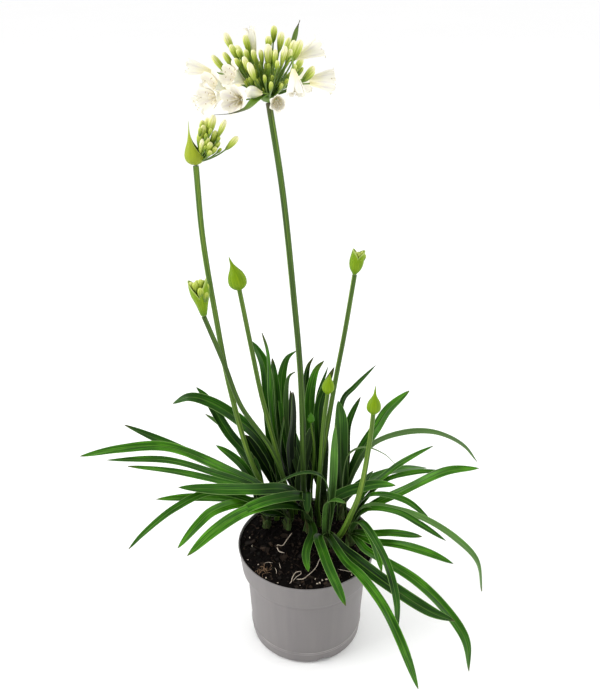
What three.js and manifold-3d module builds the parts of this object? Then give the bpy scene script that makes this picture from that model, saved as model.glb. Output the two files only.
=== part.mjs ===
// An agapanthus in flower, standing in its nursery pot. Millimetres, +Z up, origin under the pot's middle.
import * as THREE from "three";
import { mergeVertices } from "three/addons/utils/BufferGeometryUtils.js";
import Module from "manifold-3d";

const wasm = await Module();
wasm.setup();

// ---------------------------------------------------------------- driving dimensions
const GAP = 0.3; // clearance between pieces that touch

const POT_HEIGHT = 138;
const POT_WALL = 1.6;
const RIM_LIP = 0.6; // the rim is this much thicker than the wall
const INSIDE_ROUND = 1.2; // how far the wall leans in at the pot's inside corner
const RIM_RADIUS = 85;
const COLLAR_FOOT = 99; // height at which the body ends and the flared collar begins
const COLLAR_STEP = 6.2; // how far the collar stands out from the body
const COLLAR_SLOPE = 6; // height over which it comes out that far
const BODY_TOP_RADIUS = 74.1;
const FOOT_RADIUS = 69.3;
const FOOT_ROUND = 5.5; // height of the rounded bottom edge
const DRAIN_NOTCHES = 4;
const NOTCH_TURN = 0.206; // the first notch's place, in notch spacings from +X
const NOTCH = { width: 18, height: 5.5, depth: 9 };
const POT_SIDES = 30;
const SOIL_SIDES = 24;

const SOIL_TOP = 135.5;
const SOIL_RELIEF = 1.5;
const SOIL_CLEARANCE = { wall: 0.8, rim: 1.3 }; // the soil and the pot have flat sides that don't line up
const HOLE_SIDES = 6;
const HOLE_CLEARANCE = 1.3; // a hole's radius over that of the neck or stem in it
const HOLE_DEPTH = 24;

const NECK_RADIUS = 6.8; // fleshy base of a leafy shoot
const NECK_HEIGHT = 26; // above the soil
const LEAF_START = 16; // height above the soil at which the blades leave the neck
const NECK_OFFSET = 2.5; // how far from the neck's middle they do
const LEAF_THICKNESS = 0.9;
const LEAF_CHANNEL = 0.14; // how deep the blade is folded, as a share of its width
const LEAF_STEP = 54; // about this long between a blade's cross sections
const LEAF_STEPS = { least: 3, most: 7 };
const STATION_CROWDING = 1.2; // over 1, the cross sections stand closer together towards the tip
const BRACT_STEPS = 5;
const BRACT_TAIL = 0.16; // width of a bract's tail, as a share of its greatest width
const SPATHE_SIDES = 8;
const SPATHE_RISES = [0, 0.2, 0.5, 1]; // shares of the way from a spathe's foot to its mouth
const SPATHE_THICKNESS = 0.8;
const SPATHE_TIP = 1; // radius at which a spathe's lobe ends
const LEAF_TIP = 0.4; // half the width at which a blade ends

const STEM_SIDES = 7;
const STEM_STEPS = 5;
const STEM_UPRIGHT = 10; // a stem leaves the soil upright for this far
const STEM_FLATNESS = 0.92; // its section is a little flatter than round
const NECK_SIDES = 6;
const BUD_SIDES = 5;
const PEDICEL_SIDES = 4;
const PEDICEL_RADIUS = 0.7;
const CORE_FLATNESS = 0.6; // the receptacle is a flattened ball
const BLOOM_THICKNESS = 0.9;
const PETALS = 6;

const LEAF_GREEN = 0x2f6b1e;
const STEM_GREEN = 0x4b7733;
const BUD_GREEN = 0x84a828;
const PETAL_WHITE = 0xf8f6f0;

// Leafy shoots: where the neck stands in the soil, and its blades as
// [width, roll in degrees, points that the midrib passes on its way to the tip].
const SHOOTS = {
  shoot_left: {
    at: [-50, 30],
    leaves: [
      [13, -25, [[-62, 48, 163], [-71, 62, 214], [-99, 80, 245], [-126, 98, 285], [-139, 104, 297]]],
      [8, -25, [[-64, 62, 184], [-85, 78, 219], [-104, 90, 245], [-129, 98, 261]]],
      [11, -25, [[-61, 44, 179], [-70, 49, 197], [-82, 53, 215], [-98, 57, 229], [-113, 60, 239]]],
      [9, -10, [[-57, 44, 158], [-58, 56, 177], [-62, 60, 201], [-66, 64, 220]]],
    ],
  },
  shoot_mid_left: {
    at: [-24, 28],
    leaves: [
      [12, -25, [[-54, 31, 192], [-97, 36, 216], [-153, 42, 244], [-222, 50, 276]]],
      [12, -38, [[-55, 22, 202], [-95, 17, 232], [-164, 10, 271], [-219, 6, 271], [-266, 4, 262]]],
      [9, -25, [[-59, 12, 208], [-111, 4, 238], [-163, -4, 262], [-231, -12, 268]]],
      [9, -25, [[-59, 2, 211], [-101, -9, 235], [-152, -18, 256], [-203, -28, 271]]],
      [11, -20, [[-58, 8, 190], [-103, -4, 206], [-138, -16, 217], [-175, -28, 224]]],
      [9, -30, [[-60, -8, 203], [-111, -14, 224], [-152, -38, 219], [-185, -62, 203], [-201, -75, 191]]],
      [12, -30, [[-52, 4, 178], [-75, -8, 202], [-109, -32, 210], [-125, -48, 204], [-147, -68, 186]]],
    ],
  },
  shoot_centre: {
    at: [4, 20],
    leaves: [
      [14, -35, [[-9, 16, 190], [-27, 6, 212], [-61, -6, 221], [-100, -20, 232], [-147, -33, 245]]],
      [14, -30, [[-8, 8, 181], [-40, -12, 203], [-74, -36, 211], [-106, -66, 208], [-132, -95, 199]]],
      [13, -30, [[-2, 5, 200.5], [-38, -14, 213], [-67, -28, 212], [-80, -38, 209], [-88, -44, 206]]],
      [10, 0, [[8, -4, 155], [2, -26, 155], [-1, -42, 151], [2, -58, 141]]],
      [11, 0, [[-1, 14, 190], [0, 4, 208], [1, -11, 188]]],
    ],
  },
  shoot_back_left: {
    at: [-32, 58],
    leaves: [
      [15, -40, [
        [-39, 67, 193], [-60, 70, 243], [-83, 73, 267], [-116, 77, 290], [-144, 80, 297], [-167, 84, 285],
      ]],
      [16, -30, [[-42, 66, 181], [-57, 70, 209], [-77, 76, 244]]],
      [16, -10, [[-40, 70, 194], [-46, 82, 262], [-52, 100, 330], [-62, 108, 350], [-70, 114, 359]]],
      [8, 15, [[-38, 66, 212], [-45, 80, 293], [-48, 92, 355], [-54, 96, 378]]],
      [13, 0, [[-46, 90, 190], [-72, 130, 212], [-102, 180, 206], [-120, 210, 198]]],
    ],
  },
  shoot_back: {
    at: [0, 66],
    leaves: [
      [15, 0, [[-30, 84, 199], [-37, 100, 247], [-40, 110, 290], [-43, 118, 331]]],
      [13, 0, [[-21, 90, 211], [-31, 112, 275], [-31, 124, 306], [-24, 132, 325], [-12, 136, 333]]],
      [8, 0, [[-21, 84, 231], [-26, 98, 277], [-22, 108, 311], [-14, 112, 315]]],
      [12, 0, [[-16, 76, 189], [-18, 84, 246], [-20, 90, 301]]],
      [17, 0, [[-15, 69, 172], [-22, 74, 227], [-18, 76, 263], [-17, 80, 305]]],
      [12, 0, [[-20, 66, 172], [-32, 67, 206], [-33, 68, 240], [-28, 69, 275]]],
      [14, 0, [[-7, 56, 180], [-4, 55, 209], [1, 56, 238], [6, 58, 268]]],
      [14, 0, [[-8, 96, 190], [-24, 140, 212], [-44, 190, 196], [-56, 230, 150]]],
      [13, 0, [[4, 92, 196], [12, 134, 222], [22, 184, 210], [26, 226, 172]]],
    ],
  },
  shoot_back_right: {
    at: [24, 62],
    leaves: [
      [10, 0, [[2, 80, 218], [-2, 98, 282], [2, 112, 323], [9, 116, 334]]],
      [13, 0, [[10, 76, 221], [4, 92, 287], [12, 104, 322], [22, 110, 332]]],
      [6, 0, [[18, 90, 211], [15, 120, 268], [28, 140, 306]]],
      [12, 10, [[17, 72, 231], [15, 80, 280], [21, 84, 303], [34, 92, 333]]],
      [12, 0, [[20, 54, 171], [21, 54, 206], [22, 57, 238], [23, 61, 262]]],
      [13, 0, [[56, 84, 176], [76, 110, 202], [94, 138, 214], [110, 158, 224]]],
    ],
  },
  shoot_right_back: {
    at: [44, 46],
    leaves: [
      [7, 0, [[43, 60, 201], [46, 90, 287], [60, 96, 302], [87, 108, 327]]],
      [19, 0, [[44, 50, 176], [42, 54, 249], [41, 56, 284], [38, 60, 304]]],
      [9, 10, [[51, 62, 215], [52, 72, 260], [57, 76, 276], [67, 82, 296]]],
      [14, 25, [[55, 54, 193], [72, 62, 235], [88, 68, 261], [101, 74, 282], [127, 82, 305]]],
      [8, 25, [
        [62, 50, 208], [82, 54, 244], [118, 56, 260], [157, 56, 261], [193, 54, 244], [213, 50, 221],
      ]],
      [3.5, 0, [[52, 44, 236], [70, 44, 247], [96, 42, 238], [111, 40, 223]]],
      [13, 0, [[66, 70, 166], [92, 86, 172], [134, 110, 166], [168, 134, 150]]],
    ],
  },
  shoot_right: {
    at: [60, 22],
    leaves: [
      [8, 20, [[71, 22, 193], [96, 24, 220], [112, 26, 234], [133, 28, 248], [153, 30, 259]]],
      [7, 20, [[73, 18, 187], [96, 22, 213], [129, 22, 225], [165, 22, 228]]],
      [12, 35, [[64, 14, 163], [78, 2, 189], [117, -8, 222], [163, -14, 254], [198, -18, 261]]],
      [8, 20, [[70, 30, 201], [82, 34, 219]]],
      [8, 20, [[67, 7, 193], [85, -17, 223], [115, -31, 224], [143, -40, 204]]],
    ],
  },
  shoot_right_front: {
    at: [54, -2],
    leaves: [
      [8, 20, [
        [68, -12, 200], [107, -34, 213], [137, -50, 212], [168, -66, 199], [192, -76, 176], [202, -80, 132],
      ]],
      [8, 20, [[70, -18, 200], [105, -46, 219], [128, -56, 211], [157, -68, 197]]],
      [10, 25, [[79, -30, 174], [99, -46, 189], [130, -66, 201]]],
      [10, 25, [[79, -38, 169], [98, -56, 182], [116, -68, 188], [140, -80, 188], [163, -90, 183]]],
      [12, 15, [
        [70, -38, 156], [91, -62, 160], [123, -84, 153], [153, -104, 133], [178, -120, 100], [186, -128, 55],
      ]],
      [9, 0, [[62, -18, 182], [71, -50, 197], [87, -96, 191], [98, -114, 155], [101, -122, 109]]],
      [10, 0, [[60, -16, 180], [67, -34, 191], [77, -62, 188], [85, -82, 163]]],
    ],
  },
  shoot_front: {
    at: [24, -6],
    leaves: [
      [16, 15, [[46, -34, 150], [65, -60, 152], [102, -94, 146], [139, -118, 137], [161, -134, 141]]],
      [11, 10, [[46, -54, 152], [62, -80, 155], [85, -116, 144], [102, -138, 117], [125, -150, 53]]],
      [12, 0, [[14, -24, 164], [18, -48, 165], [25, -80, 166], [38, -116, 159], [42, -124, 154]]],
      [12, 0, [[30, -5, 200], [32, -4, 238], [33, 4, 306]]],
      [13, 35, [[33, 0, 202], [48, 5, 209], [65, 8, 213], [86, 12, 215], [108, 14, 212]]],
      [9, 0, [[23, -12, 190], [25, -16, 209], [34, -22, 218], [46, -28, 218]]],
      [7, 0, [[26, -8, 206], [21, -11, 239], [8, -14, 251], [-10, -18, 253], [-34, -22, 243]]],
    ],
  },
};

// Flower stems: radius at the soil and under the head, and the points of the centre line from the soil up.
// A closed stem ends in its own spathe: widest radius, length of the swelling and length of the beak.
const STEMS = {
  stem_main: {
    radii: [3.7, 3.1],
    points: [[-3, 44], [-4, 41, 218], [-7, 38, 346], [-16, 34, 466], [-26, 30, 574], [-38, 25, 661]],
  },
  stem_half_open: {
    radii: [3.2, 2.7],
    points: [[-38, 42], [-68, 40, 228], [-91, 46, 332], [-103, 49, 421], [-113, 52, 514], [-116, 55, 592]],
  },
  stem_left_bursting: {
    radii: [3.2, 2.7],
    points: [[-19, 44], [-28, 34, 205], [-44, 26, 260], [-76, 16, 324], [-93, 8, 387], [-110, 0, 445]],
  },
  stem_right_bursting: {
    radii: [3.2, 2.6],
    points: [[14, 50], [16, 52, 191], [23, 52, 252], [33, 48, 334], [43, 42, 408], [51, 35, 478]],
  },
  stem_tall_bud: {
    radii: [3.2, 2.6],
    points: [[-14, 56], [-25, 54, 174], [-38, 52, 240], [-54, 50, 318], [-64, 48, 382], [-75, 45, 456]],
    spathe: { radius: 10, body: 28, beak: 11, lean: [-10, 0] },
  },
  stem_short_bud: {
    radii: [2.8, 2.3],
    points: [[16, 30], [14, 26, 172], [16, 18, 228], [19, 8, 302], [23, 0, 351]],
    spathe: { radius: 6.6, body: 20, beak: 4, lean: [2, 0] },
  },
  stem_beaked_bud: {
    radii: [4, 2.5],
    points: [[38, -7], [44, -17, 168], [52, -24, 198], [61, -27, 232], [70, -28, 309], [72, -28, 342]],
    spathe: { radius: 7.6, body: 22, beak: 12, lean: [1, 0] },
  },
  stem_tiny_bud: {
    radii: [1.6, 1.3],
    points: [[12, 68], [8, 64, 150], [9, 52, 220], [9, 45, 251], [5, 40, 286]],
    spathe: { radius: 4.4, body: 12, beak: 2, lean: [0, 0] },
  },
};

// Opened heads stand on a stem. Buds are [tip from the head's base, length, radius]; a bract is
// [width, roll, points, share of its length at which it is widest]. A spathe that still stands round its
// buds has a radius that follows a profile of [share of the height, share of the radius], and a mouth cut
// down to the notch between its lobes, the first of which stands at turn.
const HEADS = {
  umbel_main: {
    stem: "stem_main",
    core: 8.5,
    bracts: [
      [10, 0, [[-6, -15, 3], [-12, -37, 2], [-19, -55, -1], [-31, -63, -3], [-46, -69, -3]], 0.3],
      [7, 60, [[8, 7, 8], [16, 9, 25], [24, 15, 49], [27, 17, 59], [30, 18, 67]], 0.8],
    ],
    buds: [
      [[-53, -1, 38], 23, 3],
      [[-41, -12, 42], 19, 2.9],
      [[-41, 6, 57], 18, 3.5],
      [[-34, -14, 49], 16, 3.1],
      [[-21, -12, 57], 18, 3],
      [[6, 0, 64], 15, 3.1],
      [[1, -10, 56], 13, 3.2],
      [[13, -4, 59], 18, 3.3],
      [[1, -26, 51], 21, 3.5],
      [[31, -4, 52], 21, 3.8],
      [[25, -16, 53], 21, 3.2],
      [[43, -16, 27], 16, 3.2],
      [[-21, -34, 41], 17, 2.8],
      [[-16, -42, 37], 22, 3.2],
      [[-27, -22, 46], 11, 2.4],
      [[-29, -27, 39], 12, 2.2],
      [[-13, -26, 46], 15, 2.5],
      [[8, -32, 46], 15, 2.4],
      [[17, -32, 50], 21, 2.8],
      [[22, -28, 47], 20, 2.5],
      [[-2, -44, 27], 16, 1.8],
      [[4, -44, 21], 18, 2.1],
      [[26, -30, 34], 12, 2.3],
      [[44, 26, 24], 19, 3.3],
      [[20, 30, 50], 20, 3.5],
      [[-32, 30, 43], 20, 3.5],
      [[6, 46, 37], 19, 3.3],
      [[32, 38, 30], 18, 3.3],
    ],
  },
  umbel_half_open: {
    stem: "stem_half_open",
    core: 3.8,
    spathe: {
      radius: 10.5, height: 43, lean: [-4, -3],
      lobes: 1, turn: 190, notch: 0.1, sharp: 2.2,
      profile: [[0, 0.45], [0.08, 0.8], [0.2, 1], [0.36, 0.84], [0.56, 0.5], [0.8, 0.22], [1, 0.08]],
    },
    buds: [
      [[21, 0, 49], 22, 4.3],
      [[14, 6, 45], 20, 3.6],
      [[11, -5, 40], 19, 3.5],
      [[7, -7, 33], 16, 3.3],
      [[10, -9, 27], 18, 3.3],
      [[15, -8, 30], 17, 3.5],
      [[23, -3, 34], 16, 3.3],
      [[18, -10, 24], 15, 3.5],
      [[33, -4, 45], 21, 3.3],
      [[45, -3, 28], 19, 3.6],
    ],
  },
  umbel_left_bursting: {
    stem: "stem_left_bursting",
    core: 3.4,
    spathe: {
      radius: 10.5, height: 40, lean: [-5, 0],
      lobes: 2, turn: 180, notch: 0.55, sharp: 0.8,
      profile: [[0, 0.22], [0.3, 0.6], [0.6, 0.95], [0.8, 1], [1, 0.95]],
    },
    buds: [
      [[-12, -2, 38], 17, 3.5],
      [[-7, -5, 39], 16, 3.6],
      [[-1, -2, 41], 18, 3.8],
      [[-1, -8.3, 34], 15, 3.7],
      [[4, -1, 37], 16, 3.7],
      [[4, -6.4, 29], 14, 3.4],
    ],
  },
  umbel_right_bursting: {
    stem: "stem_right_bursting",
    core: 2.7,
    spathe: {
      radius: 7.7, height: 27, lean: [4, 0],
      lobes: 2, turn: 180, notch: 0.7, sharp: 0.6,
      profile: [[0, 0.34], [0.2, 0.8], [0.45, 1], [0.75, 0.96], [1, 0.88]],
    },
    buds: [
      [[1, 0, 25], 13, 3],
      [[4, -3, 24], 12, 3.1],
      [[8, 0, 25], 13, 3],
      [[5, -5, 20], 10, 2.8],
      [[10, 1, 22], 11, 2.7],
    ],
  },
};

// White flowers of the main umbel: mouth's centre from the umbel's base, direction that it faces,
// length of the funnel, mouth radius and how far its petals have opened (1 is wide open).
const BLOOMS = [
  { mouth: [-79, 26, 24], faces: [-1, 0.1, 0.2], length: 24, radius: 9, open: 0.6 },
  { mouth: [-58, 6, 13], faces: [-0.6, -0.6, 0.45], length: 24, radius: 14.5, open: 1 },
  { mouth: [-57, -27, 3], faces: [-0.6, -0.8, 0], length: 24, radius: 14.5, open: 1 },
  { mouth: [-71, 4, -10], faces: [-0.9, -0.4, -0.3], length: 24, radius: 13, open: 1 },
  { mouth: [-31, -45, 5], faces: [-0.3, -0.95, 0.15], length: 24, radius: 14.5, open: 1 },
  { mouth: [-36, -22, 25], faces: [-0.7, -0.6, 0.5], length: 22, radius: 13, open: 0.8 },
  { mouth: [-18, -31, 10], faces: [-1, -0.4, 0.15], length: 14, radius: 5.5, open: 0 },
  { mouth: [-17, -5, 60], faces: [-0.2, -0.05, 1], length: 24, radius: 6.5, open: 0.3 },
  { mouth: [49, 9, 45], faces: [0.85, 0.15, 0.4], length: 26, radius: 11.5, open: 0.8 },
  { mouth: [62, 10, 17], faces: [1, 0, 0.1], length: 24, radius: 8.5, open: 0.6 },
  { mouth: [26, -46, 11], faces: [0.1, -0.4, -0.9], length: 22, radius: 10, open: 0.7 },
  { mouth: [10, -46, 2], faces: [0.1, -0.95, -0.05], length: 17, radius: 8.5, open: 1 },
  { mouth: [-42, 48, 10], faces: [-0.6, 0.75, 0.15], length: 24, radius: 14, open: 1 },
  { mouth: [32, 54, 4], faces: [0.5, 0.85, 0], length: 24, radius: 14, open: 1 },
  { mouth: [-6, 62, 4], faces: [-0.1, 1, 0.05], length: 24, radius: 13.5, open: 0.9 },
  { mouth: [60, 36, 8], faces: [0.9, 0.45, 0], length: 23, radius: 12, open: 0.8 },
];

// ---------------------------------------------------------------- solids
const vector = (p) => new THREE.Vector3(...p);
const UP = new THREE.Vector3(0, 0, 1);

function solidOf(geometry) {
  const bare = geometry.index ? geometry.toNonIndexed() : geometry.clone();
  bare.deleteAttribute("normal");
  bare.deleteAttribute("uv");
  const merged = mergeVertices(bare, 1e-4);
  const mesh = new wasm.Mesh({
    numProp: 3,
    vertProperties: merged.attributes.position.array,
    triVerts: new Uint32Array(merged.index.array),
  });
  return new wasm.Manifold(mesh);
}

function geometryOf(solid) {
  const { vertProperties, triVerts } = solid.getMesh();
  const geometry = new THREE.BufferGeometry();
  geometry.setAttribute("position", new THREE.BufferAttribute(vertProperties, 3));
  geometry.setIndex(new THREE.BufferAttribute(triVerts, 1));
  return geometry;
}

// One body: what the joined solids seal off inside is filled.
function fuse(geometries) {
  const joined = geometries.map(solidOf).reduce((all, one) => all.add(one));
  const bodies = joined.decompose();
  return geometryOf(bodies.reduce((most, one) => (one.volume() > most.volume() ? one : most)));
}

function cut(geometry, tools) {
  return geometryOf(tools.map(solidOf).reduce((rest, tool) => rest.subtract(tool), solidOf(geometry)));
}

// Closed skin over a row of rings that all have the same number of points.
function loft(rings) {
  const sides = rings[0].length;
  const points = rings.flat();
  const faces = [];
  for (let i = 0; i < rings.length - 1; i++) {
    for (let j = 0; j < sides; j++) {
      const a = i * sides + j;
      const b = i * sides + ((j + 1) % sides);
      faces.push(a, b, b + sides, a, b + sides, a + sides);
    }
  }
  const last = (rings.length - 1) * sides;
  for (let j = 1; j < sides - 1; j++) {
    faces.push(0, j + 1, j);
    faces.push(last, last + j, last + j + 1);
  }
  const geometry = new THREE.BufferGeometry().setFromPoints(points);
  geometry.setIndex(faces);
  return geometry;
}

// Centre, tangent and two cross axes at a share of a curve's length.
function station(curve, share, side) {
  const centre = curve.getPointAt(share);
  const tangent = curve.getTangentAt(share);
  const across = side.clone().addScaledVector(tangent, -side.dot(tangent)).normalize();
  const above = new THREE.Vector3().crossVectors(tangent, across);
  return { centre, across, above };
}

const placed = ({ centre, across, above }, x, y) =>
  centre.clone().addScaledVector(across, x).addScaledVector(above, y);

function roundRing(at, radius, sides, flat = 1) {
  const ring = [];
  for (let i = 0; i < sides; i++) {
    const angle = (2 * Math.PI * i) / sides;
    ring.push(placed(at, radius * Math.cos(angle), flat * radius * Math.sin(angle)));
  }
  return ring;
}

// Round rod along a curve; each station is [share of the length, radius].
function rod(curve, stations, sides, side, flat = 1) {
  return loft(stations.map(([share, radius]) => roundRing(station(curve, share, side), radius, sides, flat)));
}

// Strap-shaped width along a blade: narrow at the neck, parallel, then rounded off to a blunt point.
function strapWidth(share) {
  const base = Math.min(1, 0.6 + 1.6 * share);
  const past = Math.max(0, (share - 0.6) / 0.4);
  return base * Math.pow(1 - Math.pow(past, 3), 0.7);
}

// A bract is broadest at one share of its length and thin beyond it, down to a tail.
const bractWidth = (widest) => (share) => {
  const along = Math.pow(share, Math.log(0.5) / Math.log(widest));
  const body = Math.pow(Math.max(0, Math.sin(Math.PI * along)), 1.3);
  return Math.max(BRACT_TAIL, body) * (1 - Math.pow(share, 14));
};

// Thin channelled blade along a curve, its upper face turned by roll towards the tip.
function blade(curve, width, roll, widthAt = strapWidth, least = LEAF_STEPS.least) {
  const steps = Math.max(least, Math.min(LEAF_STEPS.most, Math.round(curve.getLength() / LEAF_STEP)));
  const outward = curve.getPoint(1).add(curve.getPoint(0.5)).addScaledVector(curve.getPoint(0), -2);
  const side = new THREE.Vector3().crossVectors(UP, outward).normalize();
  const rings = [];
  for (let i = 0; i <= steps; i++) {
    const share = 1 - Math.pow(1 - i / steps, STATION_CROWDING);
    const at = station(curve, share, side);
    const turn = (roll * Math.min(1, 2 * share) * Math.PI) / 180;
    const across = at.across.clone().multiplyScalar(Math.cos(turn)).addScaledVector(at.above, Math.sin(turn));
    const above = at.above.clone().multiplyScalar(Math.cos(turn)).addScaledVector(at.across, -Math.sin(turn));
    const frame = { centre: at.centre, across, above };
    const half = Math.max(LEAF_TIP, (width * widthAt(share)) / 2);
    const lift = 2 * half * LEAF_CHANNEL;
    const thick = LEAF_THICKNESS / 2;
    rings.push([
      placed(frame, half, lift + thick),
      placed(frame, 0, thick),
      placed(frame, -half, lift + thick),
      placed(frame, -half, lift - thick),
      placed(frame, 0, -thick),
      placed(frame, half, lift - thick),
    ]);
  }
  return loft(rings);
}

// ---------------------------------------------------------------- pot and soil
function makePot() {
  const outline = [
    [0, 0],
    [FOOT_RADIUS - FOOT_ROUND, 0],
    [FOOT_RADIUS - 0.3 * FOOT_ROUND, 0.3 * FOOT_ROUND],
    [FOOT_RADIUS, FOOT_ROUND],
    [BODY_TOP_RADIUS, COLLAR_FOOT],
    [BODY_TOP_RADIUS + COLLAR_STEP, COLLAR_FOOT + COLLAR_SLOPE],
    [RIM_RADIUS, POT_HEIGHT - 2],
    [RIM_RADIUS, POT_HEIGHT],
    [RIM_RADIUS - POT_WALL - RIM_LIP, POT_HEIGHT],
    [BODY_TOP_RADIUS + COLLAR_STEP - POT_WALL, COLLAR_FOOT + COLLAR_SLOPE],
    [BODY_TOP_RADIUS - POT_WALL, COLLAR_FOOT],
    [FOOT_RADIUS - POT_WALL - INSIDE_ROUND, POT_WALL + 1],
    [0, POT_WALL + 1],
  ];
  const shell = new THREE.LatheGeometry(outline.map(([r, z]) => new THREE.Vector2(r, z)), POT_SIDES);
  shell.rotateX(Math.PI / 2);
  const notches = [];
  for (let i = 0; i < DRAIN_NOTCHES; i++) {
    const notch = new THREE.BoxGeometry(NOTCH.depth, NOTCH.width, 2 * NOTCH.height);
    notch.translate(FOOT_RADIUS - NOTCH.depth / 2, 0, 0);
    notch.rotateZ((2 * Math.PI * (i + NOTCH_TURN)) / DRAIN_NOTCHES);
    notches.push(notch);
  }
  return cut(shell, notches);
}

// Height of the soil's lumpy surface over its level, as a share of its relief.
function soilLump(x, y) {
  const coarse = Math.sin(0.21 * x + 1.3) * Math.cos(0.17 * y - 0.4);
  const fine = Math.sin(0.47 * x - 0.31 * y) * Math.cos(0.39 * y + 0.28 * x + 2);
  return 0.55 * coarse + 0.45 * fine;
}

function makeSoil() {
  const rings = [
    [FOOT_RADIUS - POT_WALL - INSIDE_ROUND - SOIL_CLEARANCE.wall, POT_WALL + 1 + GAP, 0],
    [BODY_TOP_RADIUS - POT_WALL - SOIL_CLEARANCE.wall, COLLAR_FOOT - 1, 0],
    [RIM_RADIUS - POT_WALL - RIM_LIP - SOIL_CLEARANCE.rim, SOIL_TOP, 0],
    [64, SOIL_TOP, SOIL_RELIEF],
    [44, SOIL_TOP, SOIL_RELIEF],
    [18, SOIL_TOP, SOIL_RELIEF],
  ];
  const body = loft(
    rings.map(([radius, z, relief]) => {
      const ring = [];
      for (let i = 0; i < SOIL_SIDES; i++) {
        const angle = (2 * Math.PI * (i + 0.5)) / SOIL_SIDES;
        const x = radius * Math.cos(angle);
        const y = radius * Math.sin(angle);
        ring.push(new THREE.Vector3(x, y, z + relief * soilLump(x, y)));
      }
      return ring;
    }),
  );
  const holes = [
    ...Object.values(SHOOTS).map(({ at }) => [at, NECK_RADIUS + HOLE_CLEARANCE]),
    ...Object.values(STEMS).map(({ points, radii }) => [points[0], radii[0] + HOLE_CLEARANCE]),
  ];
  return cut(
    body,
    holes.map(([[x, y], radius]) => {
      const hole = new THREE.CylinderGeometry(radius, radius, 2 * HOLE_DEPTH, HOLE_SIDES);
      hole.rotateX(Math.PI / 2);
      return hole.translate(x, y, SOIL_TOP);
    }),
  );
}

// ---------------------------------------------------------------- shoots, stems, heads and flowers
function makeShoot({ at: [x, y], leaves }) {
  const foot = SOIL_TOP - HOLE_DEPTH + GAP;
  const top = SOIL_TOP + NECK_HEIGHT;
  const neckLine = new THREE.LineCurve3(vector([x, y, foot]), vector([x, y, top]));
  const neckStations = [
    [0, 0.6 * NECK_RADIUS],
    [0.2, NECK_RADIUS],
    [0.55, 0.9 * NECK_RADIUS],
    [1, 0.6 * NECK_RADIUS],
  ];
  const neck = rod(neckLine, neckStations, NECK_SIDES, new THREE.Vector3(1, 0, 0));
  const blades = leaves.map(([width, roll, points]) => {
    const start = new THREE.Vector3(x, y, SOIL_TOP + LEAF_START);
    const first = vector(points[0]);
    start.addScaledVector(first.clone().sub(start).setZ(0).clampLength(0, NECK_OFFSET), 1);
    return blade(new THREE.CatmullRomCurve3([start, ...points.map(vector)]), width, roll);
  });
  return fuse([neck, ...blades]);
}

function makeStem({ radii, points, spathe }) {
  const [[x, y], ...rest] = points;
  const foot = [x, y, SOIL_TOP - HOLE_DEPTH + GAP];
  const line = [foot, [x, y, SOIL_TOP], [x, y, SOIL_TOP + STEM_UPRIGHT], ...rest].map(vector);
  const side = new THREE.Vector3(1, 0, 0);
  const whole = spathe ? spathe.body + spathe.beak : 0;
  if (spathe) {
    const top = line.at(-1);
    const [leanX, leanY] = spathe.lean;
    line.push(top.clone().add(vector([0.3 * leanX, 0.3 * leanY, 0.6 * spathe.body])));
    line.push(top.clone().add(vector([leanX, leanY, whole])));
  }
  const curve = new THREE.CatmullRomCurve3(line);
  const length = curve.getLength();
  const share = (fromTip) => 1 - fromTip / length;
  const bend = (HOLE_DEPTH + STEM_UPRIGHT) / length;
  const stations = [[0, radii[0]]];
  for (let i = 0; i <= STEM_STEPS; i++) {
    const along = THREE.MathUtils.lerp(bend, share(whole), i / STEM_STEPS);
    stations.push([along, THREE.MathUtils.lerp(radii[0], radii[1], i / STEM_STEPS)]);
  }
  if (spathe) {
    stations.push([share(0.93 * whole), 0.62 * spathe.radius]);
    stations.push([share(0.8 * whole), 0.95 * spathe.radius]);
    stations.push([share(0.62 * whole), spathe.radius]);
    stations.push([share(spathe.beak + 0.12 * spathe.body), 0.6 * spathe.radius]);
    stations.push([share(0.7 * spathe.beak), 0.24 * spathe.radius]);
    stations.push([1, 0.5]);
  }
  return rod(curve, stations, STEM_SIDES, side, STEM_FLATNESS);
}

// Pedicel that leaves the head's base and curves up into a club-shaped bud.
function makeBud(tip, length, radius) {
  const end = vector(tip);
  const lean = end.clone().normalize().lerp(UP, 0.25).normalize();
  const foot = end.clone().addScaledVector(lean, -length);
  const knee = foot.clone().multiplyScalar(0.55).addScaledVector(UP, -0.06 * foot.length());
  const line = new THREE.CatmullRomCurve3([new THREE.Vector3(), knee, foot, end]);
  const whole = line.getLength();
  const side = Math.abs(lean.x) < 0.7 ? new THREE.Vector3(1, 0, 0) : new THREE.Vector3(0, 1, 0);
  const share = (fromTip) => 1 - fromTip / whole;
  const stations = [
    [0, PEDICEL_RADIUS],
    [share(length), PEDICEL_RADIUS],
    [share(0.75 * length), 0.8 * radius],
    [share(0.25 * length), radius],
    [1, 0.45 * radius],
  ];
  return rod(line, stations, BUD_SIDES, side);
}

// The flower's foot, where its pedicel ends.
const bloomFoot = ({ mouth, faces, length }) =>
  vector(mouth).addScaledVector(vector(faces).normalize(), -length);

function makePedicel(bloom) {
  const facing = vector(bloom.faces).normalize();
  const end = bloomFoot(bloom).addScaledVector(facing, -GAP);
  const before = end.clone().addScaledVector(facing, -0.2 * end.length());
  const line = new THREE.CatmullRomCurve3([new THREE.Vector3(), before, end]);
  const side = Math.abs(facing.x) < 0.7 ? new THREE.Vector3(1, 0, 0) : new THREE.Vector3(0, 1, 0);
  return rod(line, [0, 0.5, 1].map((share) => [share, PEDICEL_RADIUS]), PEDICEL_SIDES, side);
}

// A head sits on its stem's end, the clearance above it.
function headPlace({ stem, core }) {
  const [x, y, z] = STEMS[stem].points.at(-1);
  return [x, y, z + CORE_FLATNESS * core + 2 * GAP];
}

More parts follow.
